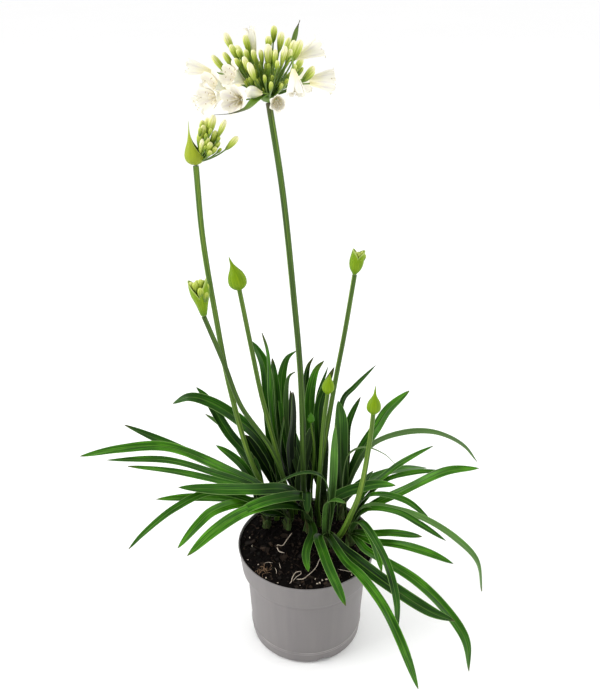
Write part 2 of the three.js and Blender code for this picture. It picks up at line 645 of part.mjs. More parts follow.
// Thin spathe round the buds: its skin runs up outside to the lobed mouth and down again inside.
function makeSpathe({ radius, height, lean: [leanX, leanY], lobes, turn, notch, sharp, profile }) {
  const middle = vector([0.4 * leanX, 0.4 * leanY, 0.5 * height]);
  const line = new THREE.CatmullRomCurve3([new THREE.Vector3(), middle, vector([leanX, leanY, height])]);
  const side = new THREE.Vector3(1, 0, 0);
  const swell = (share) => {
    const next = Math.max(1, profile.findIndex(([at]) => at >= share));
    const [[from, before], [to, after]] = [profile[next - 1], profile[next]];
    return radius * THREE.MathUtils.mapLinear(share, from, to, before, after);
  };
  const ring = (rise, inset) => {
    const points = [];
    for (let i = 0; i < SPATHE_SIDES; i++) {
      const angle = (2 * Math.PI * i) / SPATHE_SIDES;
      const towards = Math.abs(Math.cos((lobes * angle) / 2));
      const share = rise * (notch + (1 - notch) * Math.pow(towards, sharp));
      const reach = Math.max(SPATHE_TIP, swell(share)) - inset;
      const bearing = angle + (turn * Math.PI) / 180;
      const at = station(line, share, side);
      points.push(placed(at, reach * Math.cos(bearing), reach * Math.sin(bearing)));
    }
    return points;
  };
  const outside = SPATHE_RISES.map((rise) => ring(rise, 0));
  const inside = SPATHE_RISES.slice(1).reverse().map((rise) => ring(rise, SPATHE_THICKNESS));
  return loft([...outside, ...inside]);
}

function makeHead({ core, spathe, bracts = [], buds }, blooms = []) {
  const parts = [];
  const base = new THREE.SphereGeometry(core, 8, 5);
  base.rotateX(Math.PI / 2);
  base.scale(1, 1, CORE_FLATNESS);
  parts.push(base);
  if (spathe) {
    parts.push(makeSpathe(spathe));
  }
  for (const [width, roll, points, widest] of bracts) {
    const line = new THREE.CatmullRomCurve3([[0, 0, 0], ...points].map(vector));
    parts.push(blade(line, width, roll, bractWidth(widest), BRACT_STEPS));
  }
  for (const [tip, length, radius] of buds) {
    parts.push(makeBud(tip, length, radius));
  }
  parts.push(...blooms.map(makePedicel));
  return fuse(parts);
}

// Six-petalled funnel: the skin runs up outside, over the petals' tips and down inside.
function makeBloom({ mouth, faces, length, radius, open }) {
  const facing = vector(faces).normalize();
  const reach = 1.2 * length;
  const line = new THREE.LineCurve3(new THREE.Vector3(), facing.clone().multiplyScalar(reach));
  const side = Math.abs(facing.z) < 0.9 ? UP : new THREE.Vector3(1, 0, 0);
  // A ring's points stand in turn on a petal's middle and in the gap between two petals.
  const ring = (petalHeight, petalRadius, gapHeight, gapRadius) => {
    const points = [];
    for (let i = 0; i < 2 * PETALS; i++) {
      const angle = (Math.PI * i) / PETALS;
      const [height, radial] = i % 2 ? [gapHeight, gapRadius] : [petalHeight, petalRadius];
      const at = station(line, height / reach, side);
      points.push(placed(at, radial * Math.cos(angle), radial * Math.sin(angle)));
    }
    return points;
  };
  const throat = Math.min(5, 0.35 * radius + 1);
  const tipHeight = length * (1.15 - 0.15 * open);
  const petalFoot = 0.5 * length;
  const bendHeight = 0.8 * length;
  const bend = throat + 0.5 * (radius - throat);
  const rings = [
    ring(0, 1.3, 0, 1.3),
    ring(petalFoot, throat, petalFoot, throat),
    ring(bendHeight, bend, bendHeight - 2, 0.9 * bend),
    ring(tipHeight, radius, bendHeight - 1.4, 0.9 * bend),
    ring(bendHeight + 0.8, bend - 0.8, bendHeight - 1.4, 0.9 * bend - BLOOM_THICKNESS),
    ring(petalFoot + 0.4, throat - BLOOM_THICKNESS, petalFoot + 0.4, throat - BLOOM_THICKNESS),
  ];
  return loft(rings).translate(...bloomFoot({ mouth, faces, length }).toArray());
}

// ---------------------------------------------------------------- the plant
const plant = new THREE.Group();

function add(name, geometry, color, roughness, at = [0, 0, 0]) {
  const mesh = new THREE.Mesh(geometry, new THREE.MeshStandardMaterial({ color, roughness, metalness: 0 }));
  mesh.name = name;
  mesh.position.set(...at);
  plant.add(mesh);
}

add("pot", makePot(), 0x8f8a87, 0.55);
add("soil", makeSoil(), 0x1c1310, 0.95);
for (const [name, shoot] of Object.entries(SHOOTS)) {
  add(name, makeShoot(shoot), LEAF_GREEN, 0.45);
}
for (const [name, stem] of Object.entries(STEMS)) {
  add(name, makeStem(stem), STEM_GREEN, 0.5);
}
for (const [name, head] of Object.entries(HEADS)) {
  add(name, makeHead(head, name === "umbel_main" ? BLOOMS : []), BUD_GREEN, 0.5, headPlace(head));
}
BLOOMS.forEach((bloom, i) => {
  const name = "bloom_" + String(i + 1).padStart(2, "0");
  add(name, makeBloom(bloom), PETAL_WHITE, 0.6, headPlace(HEADS.umbel_main));
});

export default plant;
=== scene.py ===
# An agapanthus in flower, in its nursery pot: the look of every piece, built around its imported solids.
import math

import bpy
import numpy as np
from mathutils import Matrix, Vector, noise


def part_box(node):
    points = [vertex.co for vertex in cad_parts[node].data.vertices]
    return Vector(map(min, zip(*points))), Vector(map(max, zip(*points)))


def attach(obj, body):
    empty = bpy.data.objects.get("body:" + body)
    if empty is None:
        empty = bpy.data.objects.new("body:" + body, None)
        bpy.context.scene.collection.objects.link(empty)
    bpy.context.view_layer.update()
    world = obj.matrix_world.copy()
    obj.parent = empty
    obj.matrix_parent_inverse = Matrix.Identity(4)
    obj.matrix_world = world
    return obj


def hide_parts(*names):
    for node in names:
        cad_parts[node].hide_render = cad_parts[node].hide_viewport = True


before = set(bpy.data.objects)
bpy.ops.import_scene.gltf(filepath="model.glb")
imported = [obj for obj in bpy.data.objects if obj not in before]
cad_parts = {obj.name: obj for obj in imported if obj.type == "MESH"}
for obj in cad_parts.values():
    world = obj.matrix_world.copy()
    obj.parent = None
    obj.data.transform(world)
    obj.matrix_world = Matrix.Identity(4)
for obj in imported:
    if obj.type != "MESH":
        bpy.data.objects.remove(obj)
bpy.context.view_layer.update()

# ------------------------------------------------------------------ room and camera
# A sheet of white paper as the floor, running far back, in a white light tent that is open, so darker, in
# front. A large soft lamp stands at the left and a weaker one at the right.
MM = 0.001  # the scene is in metres, and the sizes of the plant and its pot are in mm
TENT_STRENGTH = (0.58, 1.2)  # in front and at the back
FLOOR_HALF = 30.0
LAMP_AIM = (0, 0, 0.3)
LAMP_SIZE = 1.3
CAMERA_PLACE = (-0.008, -0.768, 0.810)
CAMERA_DIP = 27.8  # degrees below level
SENSOR = 36.0
LENS = 41.14


def linear(colour):
    """An sRGB hex colour as linear red, green, blue and alpha."""
    parts = [int(colour[i : i + 2], 16) / 255 for i in (1, 3, 5)]
    return (*[c / 12.92 if c <= 0.04045 else ((c + 0.055) / 1.055) ** 2.4 for c in parts], 1)


def output_of(source):
    """The socket that a node gives its result on. A socket stands for itself."""
    if isinstance(source, bpy.types.Node):
        return next(socket for socket in source.outputs if socket.enabled)
    return source


def add(tree, kind, inputs=None, stops=(), **settings):
    """Adds a shader node. An input takes a value, a hex colour, or the socket or node that feeds it. From
    and To take both ends of a range, and stops the places and colours of a ramp."""
    made = tree.nodes.new("ShaderNode" + kind)
    if kind == "Mix":
        made.data_type = "RGBA"
    for name, value in settings.items():
        setattr(made, name, value)
    for key, given in (inputs or {}).items():
        ends = {f"{key} Min": given[0], f"{key} Max": given[1]} if key in ("From", "To") else {key: given}
        for name, value in ends.items():
            value = output_of(value)
            if isinstance(value, bpy.types.NodeSocket):
                tree.links.new(value, made.inputs[name])
            else:
                made.inputs[name].default_value = linear(value) if isinstance(value, str) else value
    if stops:
        band = made.color_ramp.elements
        band.remove(band[1])
        for k, (place, colour) in enumerate(stops):
            stop = band.new(place) if k else band[0]
            stop.position, stop.color = place, linear(colour)
    return made


def new_material(name, **surface):
    """A material with one Principled shader, whose sockets are set by name: IOR=1.45, Roughness=0.5."""
    material = bpy.data.materials.new(name)
    material.use_nodes = True
    shader = material.node_tree.nodes["Principled BSDF"]
    for socket, value in surface.items():
        shader.inputs[socket.replace("_", " ")].default_value = value
    return material, material.node_tree


def feed(tree, **sources):
    """Links nodes to the shader's sockets, by name: Base_Color=tint."""
    for socket, source in sources.items():
        tree.links.new(output_of(source), tree.nodes["Principled BSDF"].inputs[socket.replace("_", " ")])


def place_in_scene(name, data):
    """A new object with the given mesh, lamp or camera."""
    made = bpy.data.objects.new(name, data)
    bpy.context.scene.collection.objects.link(made)
    return made


world = bpy.data.worlds.new("light_tent")
world.use_nodes = True
tree = world.node_tree
facing = add(tree, "SeparateXYZ", {0: add(tree, "TexCoord").outputs["Generated"]})
glow = add(tree, "MapRange", {"Value": facing.outputs["Y"], "From": (-0.9, 0.3), "To": TENT_STRENGTH})
tree.links.new(output_of(glow), tree.nodes["Background"].inputs["Strength"])
tree.nodes["Background"].inputs["Color"].default_value = linear("#FFFFFF")
bpy.context.scene.world = world
bpy.context.scene.view_settings.view_transform = "Standard"

# Matt photo paper. Its fibres only soften the shadow, so they are a faint unevenness of its white.
paper, tree = new_material("matt_white_paper", Roughness=0.9)
fibres = add(tree, "TexNoise", {"Scale": 40.0, "Detail": 2.0})
feed(tree, Base_Color=add(tree, "Mix", {0: fibres, 6: "#FCFCFC", 7: "#FFFFFF"}))

floor_mesh = bpy.data.meshes.new("floor")
corners = [(FLOOR_HALF * x, FLOOR_HALF * y, 0) for x, y in ((-1, -1), (1, -1), (1, 1), (-1, 1))]
floor_mesh.from_pydata(corners, [], [(0, 1, 2, 3)])
floor_mesh.materials.append(paper)
floor = place_in_scene("floor", floor_mesh)
floor.location.z = -0.2 * MM

# Both lamps are square soft boxes that shine towards the plant, placed in metres, with their watts.
for name, place, power in (("key_lamp", (-2.0, -0.5, 1.5), 36), ("fill_lamp", (2.0, -0.4, 1.4), 16)):
    lamp = bpy.data.lights.new(name, "AREA")
    lamp.shape = "SQUARE"
    lamp.size = LAMP_SIZE
    lamp.energy = power
    holder = place_in_scene(name, lamp)
    holder.location = place
    x, y, z = np.array(LAMP_AIM) - np.array(place)
    holder.rotation_euler = (math.atan2(math.hypot(x, y), -z), 0, math.atan2(-x, y))

lens = bpy.data.cameras.new("camera")
lens.sensor_fit = "VERTICAL"
lens.sensor_height = SENSOR
lens.lens = LENS
camera = place_in_scene("camera", lens)
camera.location = CAMERA_PLACE
camera.rotation_euler = (math.radians(90 - CAMERA_DIP), 0, 0)
bpy.context.scene.camera = camera

# ------------------------------------------------------------------ nursery pot
# A round pot of taupe polypropylene, injection-moulded in one shot. A flared collar stands out from the
# body by a small step, the foot has a raised ring and four drain notches, a faint bead runs round under the
# collar, and the inside is plain.
pot_low, pot_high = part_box("pot")
POT_HEIGHT = (pot_high.z - pot_low.z) / MM
RIM_RADIUS = (pot_high.x - pot_low.x) / MM / 2
WALL = 1.6
COLLAR_FOOT = 99
COLLAR_STEP = 6.2
COLLAR_SLOPE = 6  # height over which the collar comes out from the body
BODY_TOP_RADIUS = 74.1
FOOT_RADIUS = 69.3
FOOT_ROUND = 5.5
# The foot ring and the bead: height, how far they stand out, and their form as heights from theirs with
# shares of that. Below the ring the body is a little wider.
FOOT_RING = {"height": 18.5, "proud": 0.9}
FOOT_RING_FORM = ((-6.5, 0.2), (-0.5, 1), (-0.1, 0.85), (0.1, 0.15), (0.6, 0))
BEAD = {"height": 94.5, "proud": 0.15}
BEAD_FORM = ((-1.1, 0), (-0.4, 0.8), (0, 1), (0.4, 0.8), (1.1, 0))
NOTCHES = 4
NOTCH_TURN = 0.206  # in notch spacings from +X
NOTCH = {"width": 18, "height": 7, "depth": 8}
POT_SIDES = 192
GRAIN_MM = 1.1  # the real grain is about 0.2 mm, which would not show


def skin(rings, caps=True):
    """Points and faces of the skin over a row of rings that have as many points each."""
    rings = np.asarray(rings, float)
    rows, sides = rings.shape[:2]
    row, column = np.meshgrid(np.arange(rows - 1), np.arange(sides), indexing="ij")
    first = row * sides + column
    second = row * sides + (column + 1) % sides
    faces = np.stack([first, second, second + sides, first + sides], -1).reshape(-1, 4).tolist()
    if caps:
        faces.append(list(range(sides))[::-1])
        faces.append([(rows - 1) * sides + k for k in range(sides)])
    return rings.reshape(-1, 3), faces


def hoop(radius, z, sides):
    """A level ring of points round the pot's axis."""
    turn = 2 * np.pi * np.arange(sides) / sides
    return np.stack([radius * np.cos(turn), radius * np.sin(turn), np.full(sides, z)], -1)


def new_piece(name, parts, materials, node, crease=50):
    """One object out of (points in mm, faces, material's place, {attribute: one number a point}) parts."""
    points = np.vstack([part[0] for part in parts]) * MM
    mesh = bpy.data.meshes.new(name)
    faces, looks, first = [], [], 0
    for part in parts:
        faces += [[first + k for k in face] for face in part[1]]
        looks += [part[2]] * len(part[1])
        first += len(part[0])
    mesh.from_pydata(points.tolist(), [], faces)
    for material in materials:
        mesh.materials.append(material)
    mesh.polygons.foreach_set("material_index", looks)
    for attribute in sorted({key for part in parts for key in part[3]}):
        values = [np.broadcast_to(part[3].get(attribute, 0.0), len(part[0])) for part in parts]
        layer = mesh.attributes.new(attribute, "FLOAT", "POINT")
        layer.data.foreach_set("value", np.concatenate(values).astype(np.float32))
    mesh.shade_smooth()
    mesh.set_sharp_from_angle(angle=math.radians(crease))
    made = place_in_scene(name, mesh)
    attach(made, "root")
    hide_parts(node)
    return made


def pot_outline():
    """Radius and height, from the middle of the underside up the outside, over the rim and down inside."""
    slope = (BODY_TOP_RADIUS - FOOT_RADIUS) / (COLLAR_FOOT - FOOT_ROUND)
    outside = [(0, 0), (FOOT_RADIUS - FOOT_ROUND, 0)]
    for step in range(1, 9):
        turn = math.radians(90 * step / 8)
        outside.append((FOOT_RADIUS - FOOT_ROUND * (1 - math.sin(turn)), FOOT_ROUND * (1 - math.cos(turn))))
    ring, bead = ([(band["height"] + up, band["proud"] * share) for up, share in form]
                  for band, form in ((FOOT_RING, FOOT_RING_FORM), (BEAD, BEAD_FORM)))
    for height, proud in (*ring, (30, 0), (50, 0), (70, 0), (88, 0), *bead):
        outside.append((FOOT_RADIUS + slope * (height - FOOT_ROUND) + proud, height))
    collar, lip = BODY_TOP_RADIUS + COLLAR_STEP, COLLAR_FOOT + COLLAR_SLOPE
    for out, up in ((0.02, 0), (0.12, 0.17), (0.32, 0.4), (0.68, 0.72), (0.9, 0.9), (1, 1.05)):
        outside.append((BODY_TOP_RADIUS + COLLAR_STEP * out, COLLAR_FOOT + COLLAR_SLOPE * up))
    for share in (0.1, 0.3, 0.5, 0.75, 0.97):
        height = lip + (POT_HEIGHT - 2.2 - lip) * share
        outside.append((collar + (RIM_RADIUS - 0.5 - collar) * share, height))
    rim = [(0.1, -2.0), (0.45, -1.5), (0.5, -0.8), (0.42, -0.3),
           (0.1, 0), (-0.55, 0), (-0.9, -0.3), (-1.1, -1.2)]
    outside += [(RIM_RADIUS - 0.5 + out, POT_HEIGHT + up) for out, up in rim]
    inside = [(collar - WALL, lip), (BODY_TOP_RADIUS - WALL, COLLAR_FOOT)]
    return outside + inside + [(FOOT_RADIUS - WALL - 1.2, WALL + 1), (0, WALL + 1)]


def turned(outline, sides):
    """Points and faces of an outline, from axis to axis, turned about Z."""
    body = outline[1:-1]
    points, faces = skin([hoop(radius, z, sides) for radius, z in body], caps=False)
    points = np.vstack([points, [(0, 0, outline[0][1])], [(0, 0, outline[-1][1])]])
    low, high = len(points) - 2, len(points) - 1
    last = (len(body) - 1) * sides
    for k in range(sides):
        after = (k + 1) % sides
        faces.append([low, after, k])
        faces.append([high, last + k, last + after])
    return points, faces


def notch_cutter():
    """The round-topped drain notches as one mesh, to be taken out of the foot."""
    points, faces = [], []
    for k in range(NOTCHES):
        turn = 2 * math.pi * (k + NOTCH_TURN) / NOTCHES
        arch = [(-NOTCH["width"] / 2, -1), (NOTCH["width"] / 2, -1)]
        for step in range(7):
            angle = math.pi * step / 6
            height = NOTCH["height"] * (0.45 + 0.55 * math.sin(angle))
            arch.append((NOTCH["width"] / 2 * math.cos(angle), height))
        first = len(points)
        rings = []
        for radius in (FOOT_RADIUS + 3, FOOT_RADIUS - NOTCH["depth"]):
            rings.append([(radius * math.cos(turn) - along * math.sin(turn),
                           radius * math.sin(turn) + along * math.cos(turn), up) for along, up in arch])
        made, sides = skin(rings)
        points += (made * MM).tolist()
        faces += [[first + j for j in reversed(face)] for face in sides]
    mesh = bpy.data.meshes.new("notches")
    mesh.from_pydata(points, [], faces)
    return place_in_scene("notches", mesh)


def cut_out(piece, cutter):
    """Takes cutter's volume out of the piece, and cutter out of the scene."""
    cutting = piece.modifiers.new("cut", "BOOLEAN")
    cutting.object = cutter
    cutting.solver = "EXACT"
    bpy.context.view_layer.update()
    seen = piece.evaluated_get(bpy.context.evaluated_depsgraph_get())
    cut_mesh = bpy.data.meshes.new_from_object(seen)
    piece.modifiers.remove(cutting)
    piece.data = cut_mesh
    bpy.data.objects.remove(cutter)


# Polypropylene off a finely spark-eroded mould: a satin skin with no gloss, which shows a fine grain, weak
# upright flow lines from the gate in its foot, and a little dust from the bench. Two thin pale lines at the
# shoulder of the foot ring are a painted highlight, where its ledge would catch the light.
pot_plastic, tree = new_material("moulded_polypropylene", Roughness=0.52, IOR=1.49)
place = add(tree, "TexCoord").outputs["Object"]
grain = add(tree, "TexNoise", {"Vector": place, "Scale": 1 / (GRAIN_MM * MM), "Detail": 2.0})
flow_lines = add(tree, "Mapping", {"Vector": place, "Scale": (1, 1, 0.04)})
flow = add(tree, "TexNoise", {"Vector": flow_lines, "Scale": 1 / (9 * MM), "Detail": 3.0})
cloud = add(tree, "TexNoise", {"Vector": place, "Scale": 1 / (60 * MM), "Detail": 4.0, "Roughness": 0.6})
spread = add(tree, "MapRange", {"Value": add(tree, "Math", {0: flow, 1: cloud}), "From": (0.75, 1.25)})
plastic = add(tree, "Mix", {0: spread, 6: "#747070", 7: "#7A7675"})
height = add(tree, "SeparateXYZ", {0: place}).outputs["Z"]
near_floor = add(tree, "MapRange", {"Value": height, "From": (2 * MM, 16 * MM), "To": (1, 0)})
dust = add(tree, "TexNoise", {"Vector": place, "Scale": 1 / (7 * MM), "Detail": 6.0, "Roughness": 0.7})
dusty = add(tree, "MapRange", {"Value": dust, "From": (0.5, 0.8), "To": (0, 0.5)})
low_dust = add(tree, "Math", {0: dusty, 1: near_floor}, operation="MULTIPLY")
soiled = add(tree, "Mix", {0: low_dust, 6: plastic, 7: "#726B66"})
# Painted highlight: two thin pale lines at the shoulder of the foot ring, where its ledge would catch the
# light.
off_highlight_line = height
for distance in ((FOOT_RING["height"] - 1.0) * MM, 1.2 * MM):
    off_highlight_line = add(tree, "Math", {0: off_highlight_line, 1: distance}, operation="SUBTRACT")
    off_highlight_line = add(tree, "Math", {0: off_highlight_line}, operation="ABSOLUTE")
highlight_patchiness = add(tree, "MapRange", {"Value": cloud, "From": (0.35, 0.6), "To": (0.2, 0.8)})
painted_ring_highlight = add(tree, "MapRange", {"Value": off_highlight_line, "From": (0.15 * MM, 0.6 * MM), "To": (highlight_patchiness, 0)})
feed(tree, Base_Color=add(tree, "Mix", {0: painted_ring_highlight, 6: soiled, 7: "#ACA8A6"}),
     Roughness=add(tree, "MapRange", {"Value": cloud, "From": (0.3, 0.7), "To": (0.47, 0.58)}),
     Normal=add(tree, "Bump", {"Height": grain, "Strength": 0.25, "Distance": 0.12 * MM}))

pot_shape = (*turned(pot_outline(), POT_SIDES), 0, {})
pot = new_piece("nursery_pot", [pot_shape], [pot_plastic], "pot", crease=35)
cut_out(pot, notch_cutter())

# ------------------------------------------------------------------ potting mix
# Dark peat with composted bark, filled to just under the rim. It is crumbly, with bark chips, broken
# fibres, a few grains of perlite, and the plant's own pale roots where watering has laid them bare.
SOIL_TOP = 135.5
SOIL_RADIUS = RIM_RADIUS - WALL - 0.7
SOIL_RINGS = 96
SOIL_SIDES = 264
CHIPS = 620
CHIP_SIZES = {0.8: 0.4, 1.3: 0.33, 2.2: 0.2, 3.4: 0.07}  # half lengths, and how common each is
CHIP_WIDTH = (0.35, 0.8)  # least and most, as a share of its length
CHIP_UNEVENNESS = 0.28
CHIP_TILT = 0.5  # at most, in radians
FIBRES = 90
THREAD_RADIUS = {"fibre": 0.22, "coir": 0.24}
COIR_STRANDS = 34
COIR_TUFT = (-51, -50)
ROUTE_STEPS = 24  # points worked out between two given ones, before they are spaced evenly
# Bare roots by the points they pass, in mm from the pot's middle and over the mix, and their radius.
ROOTS = [
    ([(-18, 14, 4), (-24, 3, 2.4), (-30, -7, 1.6), (-36, -8, 1.5), (-34, -16, 1.3), (-27, -22, 1.2)], 0.6),
    ([(17, -32, 2.6), (15, -36, 2.2), (11, -46, 1.8), (2, -58, 1.6), (-5, -66, 1.6),
        (-12, -66, 1.2)], 0.55),
    ([(-7, -52, 1.2), (-13, -55, 1.8), (-17, -63, 1.5), (-18, -69, 1.3), (-20, -73, 1.0)], 0.5),
    ([(-7, -52, 1.2), (-7, -56, 1.4), (-12, -61, 1.4), (-16, -68, 1.2)], 0.4),
    ([(-51, -39, 1.2), (-46, -38, 1.6), (-41, -39, 1.2)], 0.3),
    ([(-38, -46, 1.2), (-36, -51, 1.6), (-36, -56, 1.1)], 0.3),
    ([(-33, -38, 1.2), (-32, -43, 1.6), (-31, -48, 1.1)], 0.3),
    ([(37, -49, 1.2), (46, -51, 1.6), (54, -54, 1.1)], 0.35),
    ([(-67, -6, 1.2), (-67, -10, 1.6), (-66, -15, 1.2)], 0.3),
]
# Perlite grains: x, y and size.
FLECKS = [
    (-71, 8, 1.6), (-71, -31, 1.2), (23, -65, 1.5), (12, -72, 1.3), (15, -70, 1.2), (-8, -74, 1.1),
    (53, -57, 1.6), (-34, -70, 1.0), (10, -63, 1.1), (-48, -62, 1.0), (18, -66, 1.0), (-58, -40, 1.0),
]
rng = np.random.default_rng(7)


def crumb(x, y):
    """Height of the mix over its level at a place, in mm: soft hollows, lumps and crumbs."""
    hollow = 1.2 * noise.noise((x / 26, y / 26, 3.1))
    lumps = 1.5 * noise.noise((x / 7, y / 7, 7.7))
    crumbs = 1.4 * noise.noise((x / 2.7, y / 2.7, 1.3)) + 0.7 * noise.noise((x / 1.2, y / 1.2, 9.2))
    edge = min(1, max(0, (math.hypot(x, y) - 0.9 * SOIL_RADIUS) / (0.1 * SOIL_RADIUS)))
    return (hollow + lumps + crumbs) * (1 - 0.4 * edge) - 0.3 - 0.4 * edge


def soil_body():
    """The mix as one closed body: its bottom, its side and its uneven top."""
    side = [(FOOT_RADIUS - WALL - 1.8, NOTCH["height"] + 1.5), (BODY_TOP_RADIUS - WALL - 1, COLLAR_FOOT - 1),
            (SOIL_RADIUS, SOIL_TOP - 2)]
    rings = [hoop(radius, z, SOIL_SIDES) for radius, z in side]
    for step in range(SOIL_RINGS):
        ring = hoop(SOIL_RADIUS * (1 - step / SOIL_RINGS) ** 0.85, SOIL_TOP, SOIL_SIDES)
        rings.append(np.array([(x, y, SOIL_TOP + crumb(x, y)) for x, y, _ in ring]))
    return skin(rings)


def chip(x, y, size, flat):
    """A broken bit of bark or wood: a block with uneven corners, lying askew in the surface."""
    corners = np.array([(i, j, k) for i in (-1, 1) for j in (-1, 1) for k in (-1, 1)], float)
    corners *= np.array([size, size * rng.uniform(*CHIP_WIDTH), size * flat])
    corners += rng.uniform(-CHIP_UNEVENNESS, CHIP_UNEVENNESS, (8, 3)) * size * np.array([1, 1, flat])
    yaw, pitch = rng.uniform(0, 2 * np.pi), rng.uniform(-CHIP_TILT, CHIP_TILT)
    level, drop = math.cos(pitch), math.sin(pitch)
    tilt = np.array([(level, 0, drop), (0, 1, 0), (-drop, 0, level)])
    ahead, aside = math.cos(yaw), math.sin(yaw)
    turn = np.array([(ahead, -aside, 0), (aside, ahead, 0), (0, 0, 1)])
    points = corners @ tilt.T @ turn.T + np.array([x, y, SOIL_TOP + crumb(x, y) + 0.25 * size * flat])
    faces = [[0, 1, 3, 2], [4, 6, 7, 5], [0, 4, 5, 1], [2, 3, 7, 6], [0, 2, 6, 4], [1, 5, 7, 3]]
    return points, faces


def between(places, own, path):
    """The points of a path at the given places, where own says what places its own points have."""
    return np.stack([np.interp(places, own, column) for column in path.T], -1)


def route(points, step):
    """Even points along a smooth line through the given ones, a step apart, and their distances."""
    given = np.array(points, float)
    given = np.vstack([2 * given[0] - given[1], given, 2 * given[-1] - given[-2]])
    t = np.linspace(0, 1, ROUTE_STEPS + 1)[:-1, None]
    fine = []
    for a, b, c, d in zip(given, given[1:], given[2:], given[3:]):
        # Centripetal Catmull-Rom, the same curve that the solids follow.
        before, here, after = (max(1e-6, np.linalg.norm(span)) ** 0.5 for span in (b - a, c - b, d - c))
        leave = here * ((b - a) / before - (c - a) / (before + here) + (c - b) / here)
        arrive = here * ((c - b) / here - (d - b) / (here + after) + (d - c) / after)
        fine.append((2 * t**3 - 3 * t**2 + 1) * b + (t**3 - 2 * t**2 + t) * leave
                    + (3 * t**2 - 2 * t**3) * c + (t**3 - t**2) * arrive)
    line = np.vstack(fine + [given[-2:-1]])
    travelled = np.concatenate([[0], np.cumsum(np.linalg.norm(np.diff(line, axis=0), axis=1))])
    count = max(3, round(travelled[-1] / step) + 1)
    wanted = np.linspace(0, travelled[-1], count)
    return between(wanted, travelled, line), wanted


def axes_along(line, side):
    """At each point of a line: across (side, squared to the line) and above."""
    tangent = np.gradient(line, axis=0)
    tangent /= np.linalg.norm(tangent, axis=1)[:, None]
    across = side - (tangent @ side)[:, None] * tangent
    across /= np.linalg.norm(across, axis=1)[:, None]
    return across, np.cross(tangent, across)


def tube(line, radii, sides, side=(1, 0, 0), flat=1.0, ribs=0, rib_depth=0.0):
    """Points and faces of a rod along a line, and how far round it each point is, from 0 to 1."""
    across, above = axes_along(line, np.array(side, float))
    turn = 2 * np.pi * np.arange(sides) / sides
    reach = np.broadcast_to(radii, len(line))[:, None] * (1 + rib_depth * np.cos(ribs * turn))[None, :]
    rings = (line[:, None] + across[:, None] * (reach * np.cos(turn))[..., None]
             + above[:, None] * (flat * reach * np.sin(turn))[..., None])
    points, faces = skin(rings)
    return points, faces, np.tile(turn / (2 * np.pi), len(line))


def thread(points, radius, sides=6):
    """A thin tube through points that lie on the mix: x, y and the height over it."""
    line, _ = route([(x, y, SOIL_TOP + crumb(x, y) + lift) for x, y, lift in points], 1.2)
    ends = np.minimum(1, 0.35 + 0.25 * np.minimum(np.arange(len(line)), np.arange(len(line))[::-1]))
    made, faces, _ = tube(line, radius * ends, sides)
    return made, faces


def anywhere(share):
    """A random place on the mix, within a share of its radius."""
    radius, angle = share * SOIL_RADIUS * math.sqrt(rng.uniform()), rng.uniform(0, 2 * np.pi)
    return radius * math.cos(angle), radius * math.sin(angle)


def mottled(name, patch_mm, detail, darker, lighter, roughness):
    """A material that runs from one colour to another in soft patches."""
    material, tree = new_material(name, Roughness=roughness)
    place = add(tree, "TexCoord").outputs["Object"]
    patches = add(tree, "TexNoise", {"Vector": place, "Scale": 1 / (patch_mm * MM), "Detail": detail})
    feed(tree, Base_Color=add(tree, "Mix", {0: patches, 6: darker, 7: lighter}))
    return material


# Wet peat and bark: matt, nearly black in its hollows and a very dark brown on its crumbs.
potting_mix, tree = new_material("moist_peat_and_bark", Roughness=0.9, Specular_IOR_Level=0.08)
place = add(tree, "TexCoord").outputs["Object"]
crumbs = add(tree, "TexNoise", {"Vector": place, "Scale": 1 / (3 * MM), "Detail": 5.0, "Roughness": 0.65})
feed(tree, Base_Color=add(tree, "ValToRGB", {0: crumbs}, stops=((0.32, "#030202"), (0.75, "#0E0806"))),
     Normal=add(tree, "Bump", {"Height": crumbs, "Strength": 0.8, "Distance": 0.8 * MM}))

# Composted bark: brown to near black from bit to bit, with the split grain of wood.
bark, tree = new_material("composted_bark", Roughness=0.85, Specular_IOR_Level=0.2)
shade = add(tree, "Attribute", attribute_name="shade").outputs["Fac"]
split = add(tree, "Mapping", {"Vector": add(tree, "TexCoord").outputs["Object"], "Scale": (1, 1, 3)})
splinters = add(tree, "TexNoise", {"Vector": split, "Scale": 1 / (1.2 * MM), "Detail": 4.0})
mixed = add(tree, "Math", {0: shade, 1: splinters}, operation="MULTIPLY")
feed(tree, Base_Color=add(tree, "ValToRGB", {0: mixed}, stops=((0, "#060403"), (1, "#4A382A"))))

# Bare roots and perlite: stained cream, with a dull sheen. Coir: a matt ginger fibre.
pale_root = mottled("bare_root", 4, 3.0, "#8E7A66", "#E9DCCB", 0.55)
coir = mottled("coir_fibre", 2, 3.0, "#4A3424", "#A08060", 0.75)

soil_parts = [(*soil_body(), 0, {})]
for _ in range(CHIPS):
    x, y = anywhere(0.97)
    size = rng.choice(list(CHIP_SIZES), p=list(CHIP_SIZES.values()))
    made = chip(x, y, size, rng.uniform(0.25, 0.6))
    soil_parts.append((*made, 1, {"shade": rng.uniform(0.1, 1.0) ** 1.6}))
for x, y, size in FLECKS:
    soil_parts.append((*chip(x, y, size * 0.8, 0.6), 2, {}))
for points, radius in ROOTS:
    soil_parts.append((*thread(points, radius), 2, {}))
for _ in range(FIBRES):
    x, y = anywhere(0.9)
    heading, length = rng.uniform(0, 2 * np.pi), rng.uniform(2, 7)
    bent = heading + rng.uniform(-0.8, 0.8)
    fibre = [(x, y, 0.5), (x + length * math.cos(heading), y + length * math.sin(heading), 0.9)]
    fibre.append((fibre[1][0] + length * math.cos(bent), fibre[1][1] + length * math.sin(bent), 0.4))
    soil_parts.append((*thread(fibre, THREAD_RADIUS["fibre"], 4), 1, {"shade": rng.uniform(0.4, 1.3)}))
